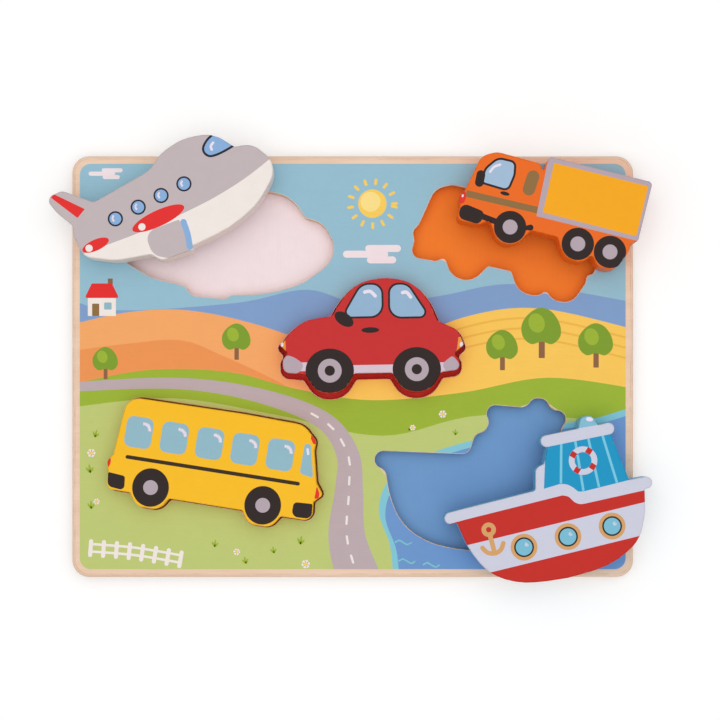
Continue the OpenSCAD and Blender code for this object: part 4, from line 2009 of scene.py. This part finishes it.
@dataclass(frozen=True)
class Studio:
    """White table, soft light all round and a camera that looks straight down, as in the picture."""

    face_scale: float = 1.872
    lens_height: float = 1000.0
    nadir: Point = (366.0, 440.0)
    tray_middle: Point = (352.7, 366.5)
    sensor: float = 36.0
    sight: float = 20.0
    ambient: float = 0.44
    lamp_watts: float = 2.75
    lamp_size: float = 1.0
    lamp_distance: float = 1.3
    lamp_height: float = 66.0
    lamp_sides: tuple[float, ...] = (20.0, 110.0, 200.0, 290.0)
    floor_shade: float = 0.8
    floor_glow: float = 0.27
    far_glow: float = 0.66
    far_from: float = 0.35
    far_to: float = 2.2
    floor_side: float = 14.0
    floor_drop: float = 0.0002

    def camera(self) -> None:
        """Camera over the pixel below its lens, shifted so that the tray lies where the picture has it."""
        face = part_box("front_board")[1].z
        data = bpy.data.cameras.new("camera")
        data.sensor_width = self.sensor
        data.lens = self.sensor * self.face_scale * self.lens_height / PHOTO_SIDE
        data.shift_x = 0.5 - self.nadir[0] / PHOTO_SIDE
        data.shift_y = self.nadir[1] / PHOTO_SIDE - 0.5
        data.clip_end = self.sight
        camera = linked("camera", data)
        camera.location = (
            (self.nadir[0] - self.tray_middle[0]) / self.face_scale * MM,
            (self.tray_middle[1] - self.nadir[1]) / self.face_scale * MM,
            face + self.lens_height * MM,
        )
        bpy.context.scene.camera = camera

    def _seen(self, graph: Graph) -> Sock:
        """What looks on: the camera, a reflection or a clear piece.

        Args:
            graph: The nodes of the table or the room.

        Returns:
            1 for these, and 0 for light that falls on the object.
        """
        path = graph.node("ShaderNodeLightPath")
        rays = [Sock(graph, path.outputs[f"Is {kind} Ray"]) for kind in ("Camera", "Glossy", "Transmission")]
        return rays[0].math("MAXIMUM", rays[1]).math("MAXIMUM", rays[2])

    def room(self) -> None:
        """Even light from the room, which looks white."""
        world = bpy.data.worlds.new("room")
        world.use_nodes = True
        graph = Graph(world.node_tree)
        dim = graph.tree.nodes["Background"]
        graph.fill(dim, {"Color": WHITE_LIGHT, "Strength": self.ambient})
        white = graph.out("ShaderNodeBackground", None, {"Color": WHITE_LIGHT, "Strength": 1.0})
        sockets = {0: self._seen(graph), 1: Sock(graph, dim.outputs[0]), 2: white}
        both = graph.out("ShaderNodeMixShader", None, sockets)
        graph.fill(graph.tree.nodes["World Output"], {"Surface": both})
        bpy.context.scene.world = world

    def lamps(self) -> None:
        """Soft lamps round the table."""
        level = self.lamp_distance * math.cos(math.radians(self.lamp_height))
        height = self.lamp_distance * math.sin(math.radians(self.lamp_height))
        for side in self.lamp_sides:
            data = bpy.data.lights.new("soft_lamp", "AREA")
            data.energy = self.lamp_watts
            data.size = self.lamp_size
            lamp = linked("soft_lamp", data)
            lamp.location = (*turned((level, 0), side), height)
            lamp.rotation_euler = (-lamp.location).to_track_quat("-Z", "Y").to_euler()

    def floor(self) -> None:
        """White table that keeps the shadow near the object and runs out to the white of the room."""
        half = self.floor_side / 2
        mesh = bpy.data.meshes.new("table")
        corners = box_corners((-half, -half), (half, half))
        mesh.from_pydata(corners, [], [(0, 1, 2, 3)])
        table = linked("table", mesh)
        table.location.z = -self.floor_drop
        coat = Coat("white_table")
        away = coat.out("ShaderNodeVectorMath", {"operation": "LENGTH"}, {0: coat.place()}, "Value")
        near_share = self.floor_glow / self.far_glow
        share = near_share + (1 - near_share) * away.step(self.far_from, self.far_to)
        sockets = {
            "Base Color": (self.floor_shade,) * 3 + (1.0,),
            "Roughness": 1.0,
            "Specular IOR Level": 0.0,
            "Emission Strength": self.far_glow,
            "Emission Color": coat.mix(self._seen(coat) * share, BLACK_LIGHT, WHITE_LIGHT),
        }
        coat.fill(coat.tree.nodes["Principled BSDF"], sockets)
        mesh.materials.append(coat.material)

    def build(self) -> None:
        """Builds the camera, the light and the table."""
        self.camera()
        self.room()
        self.lamps()
        self.floor()
        bpy.context.scene.view_settings.view_transform = "Standard"


def main() -> None:
    """Builds the puzzle in its studio."""
    logging.basicConfig(level=logging.INFO, format="%(name)s: %(message)s")
    Studio().build()
    for part in (Tray(), Plane(), Truck(), Car(), Bus(), Boat()):
        part.build()


if __name__ == "__main__":
    main()
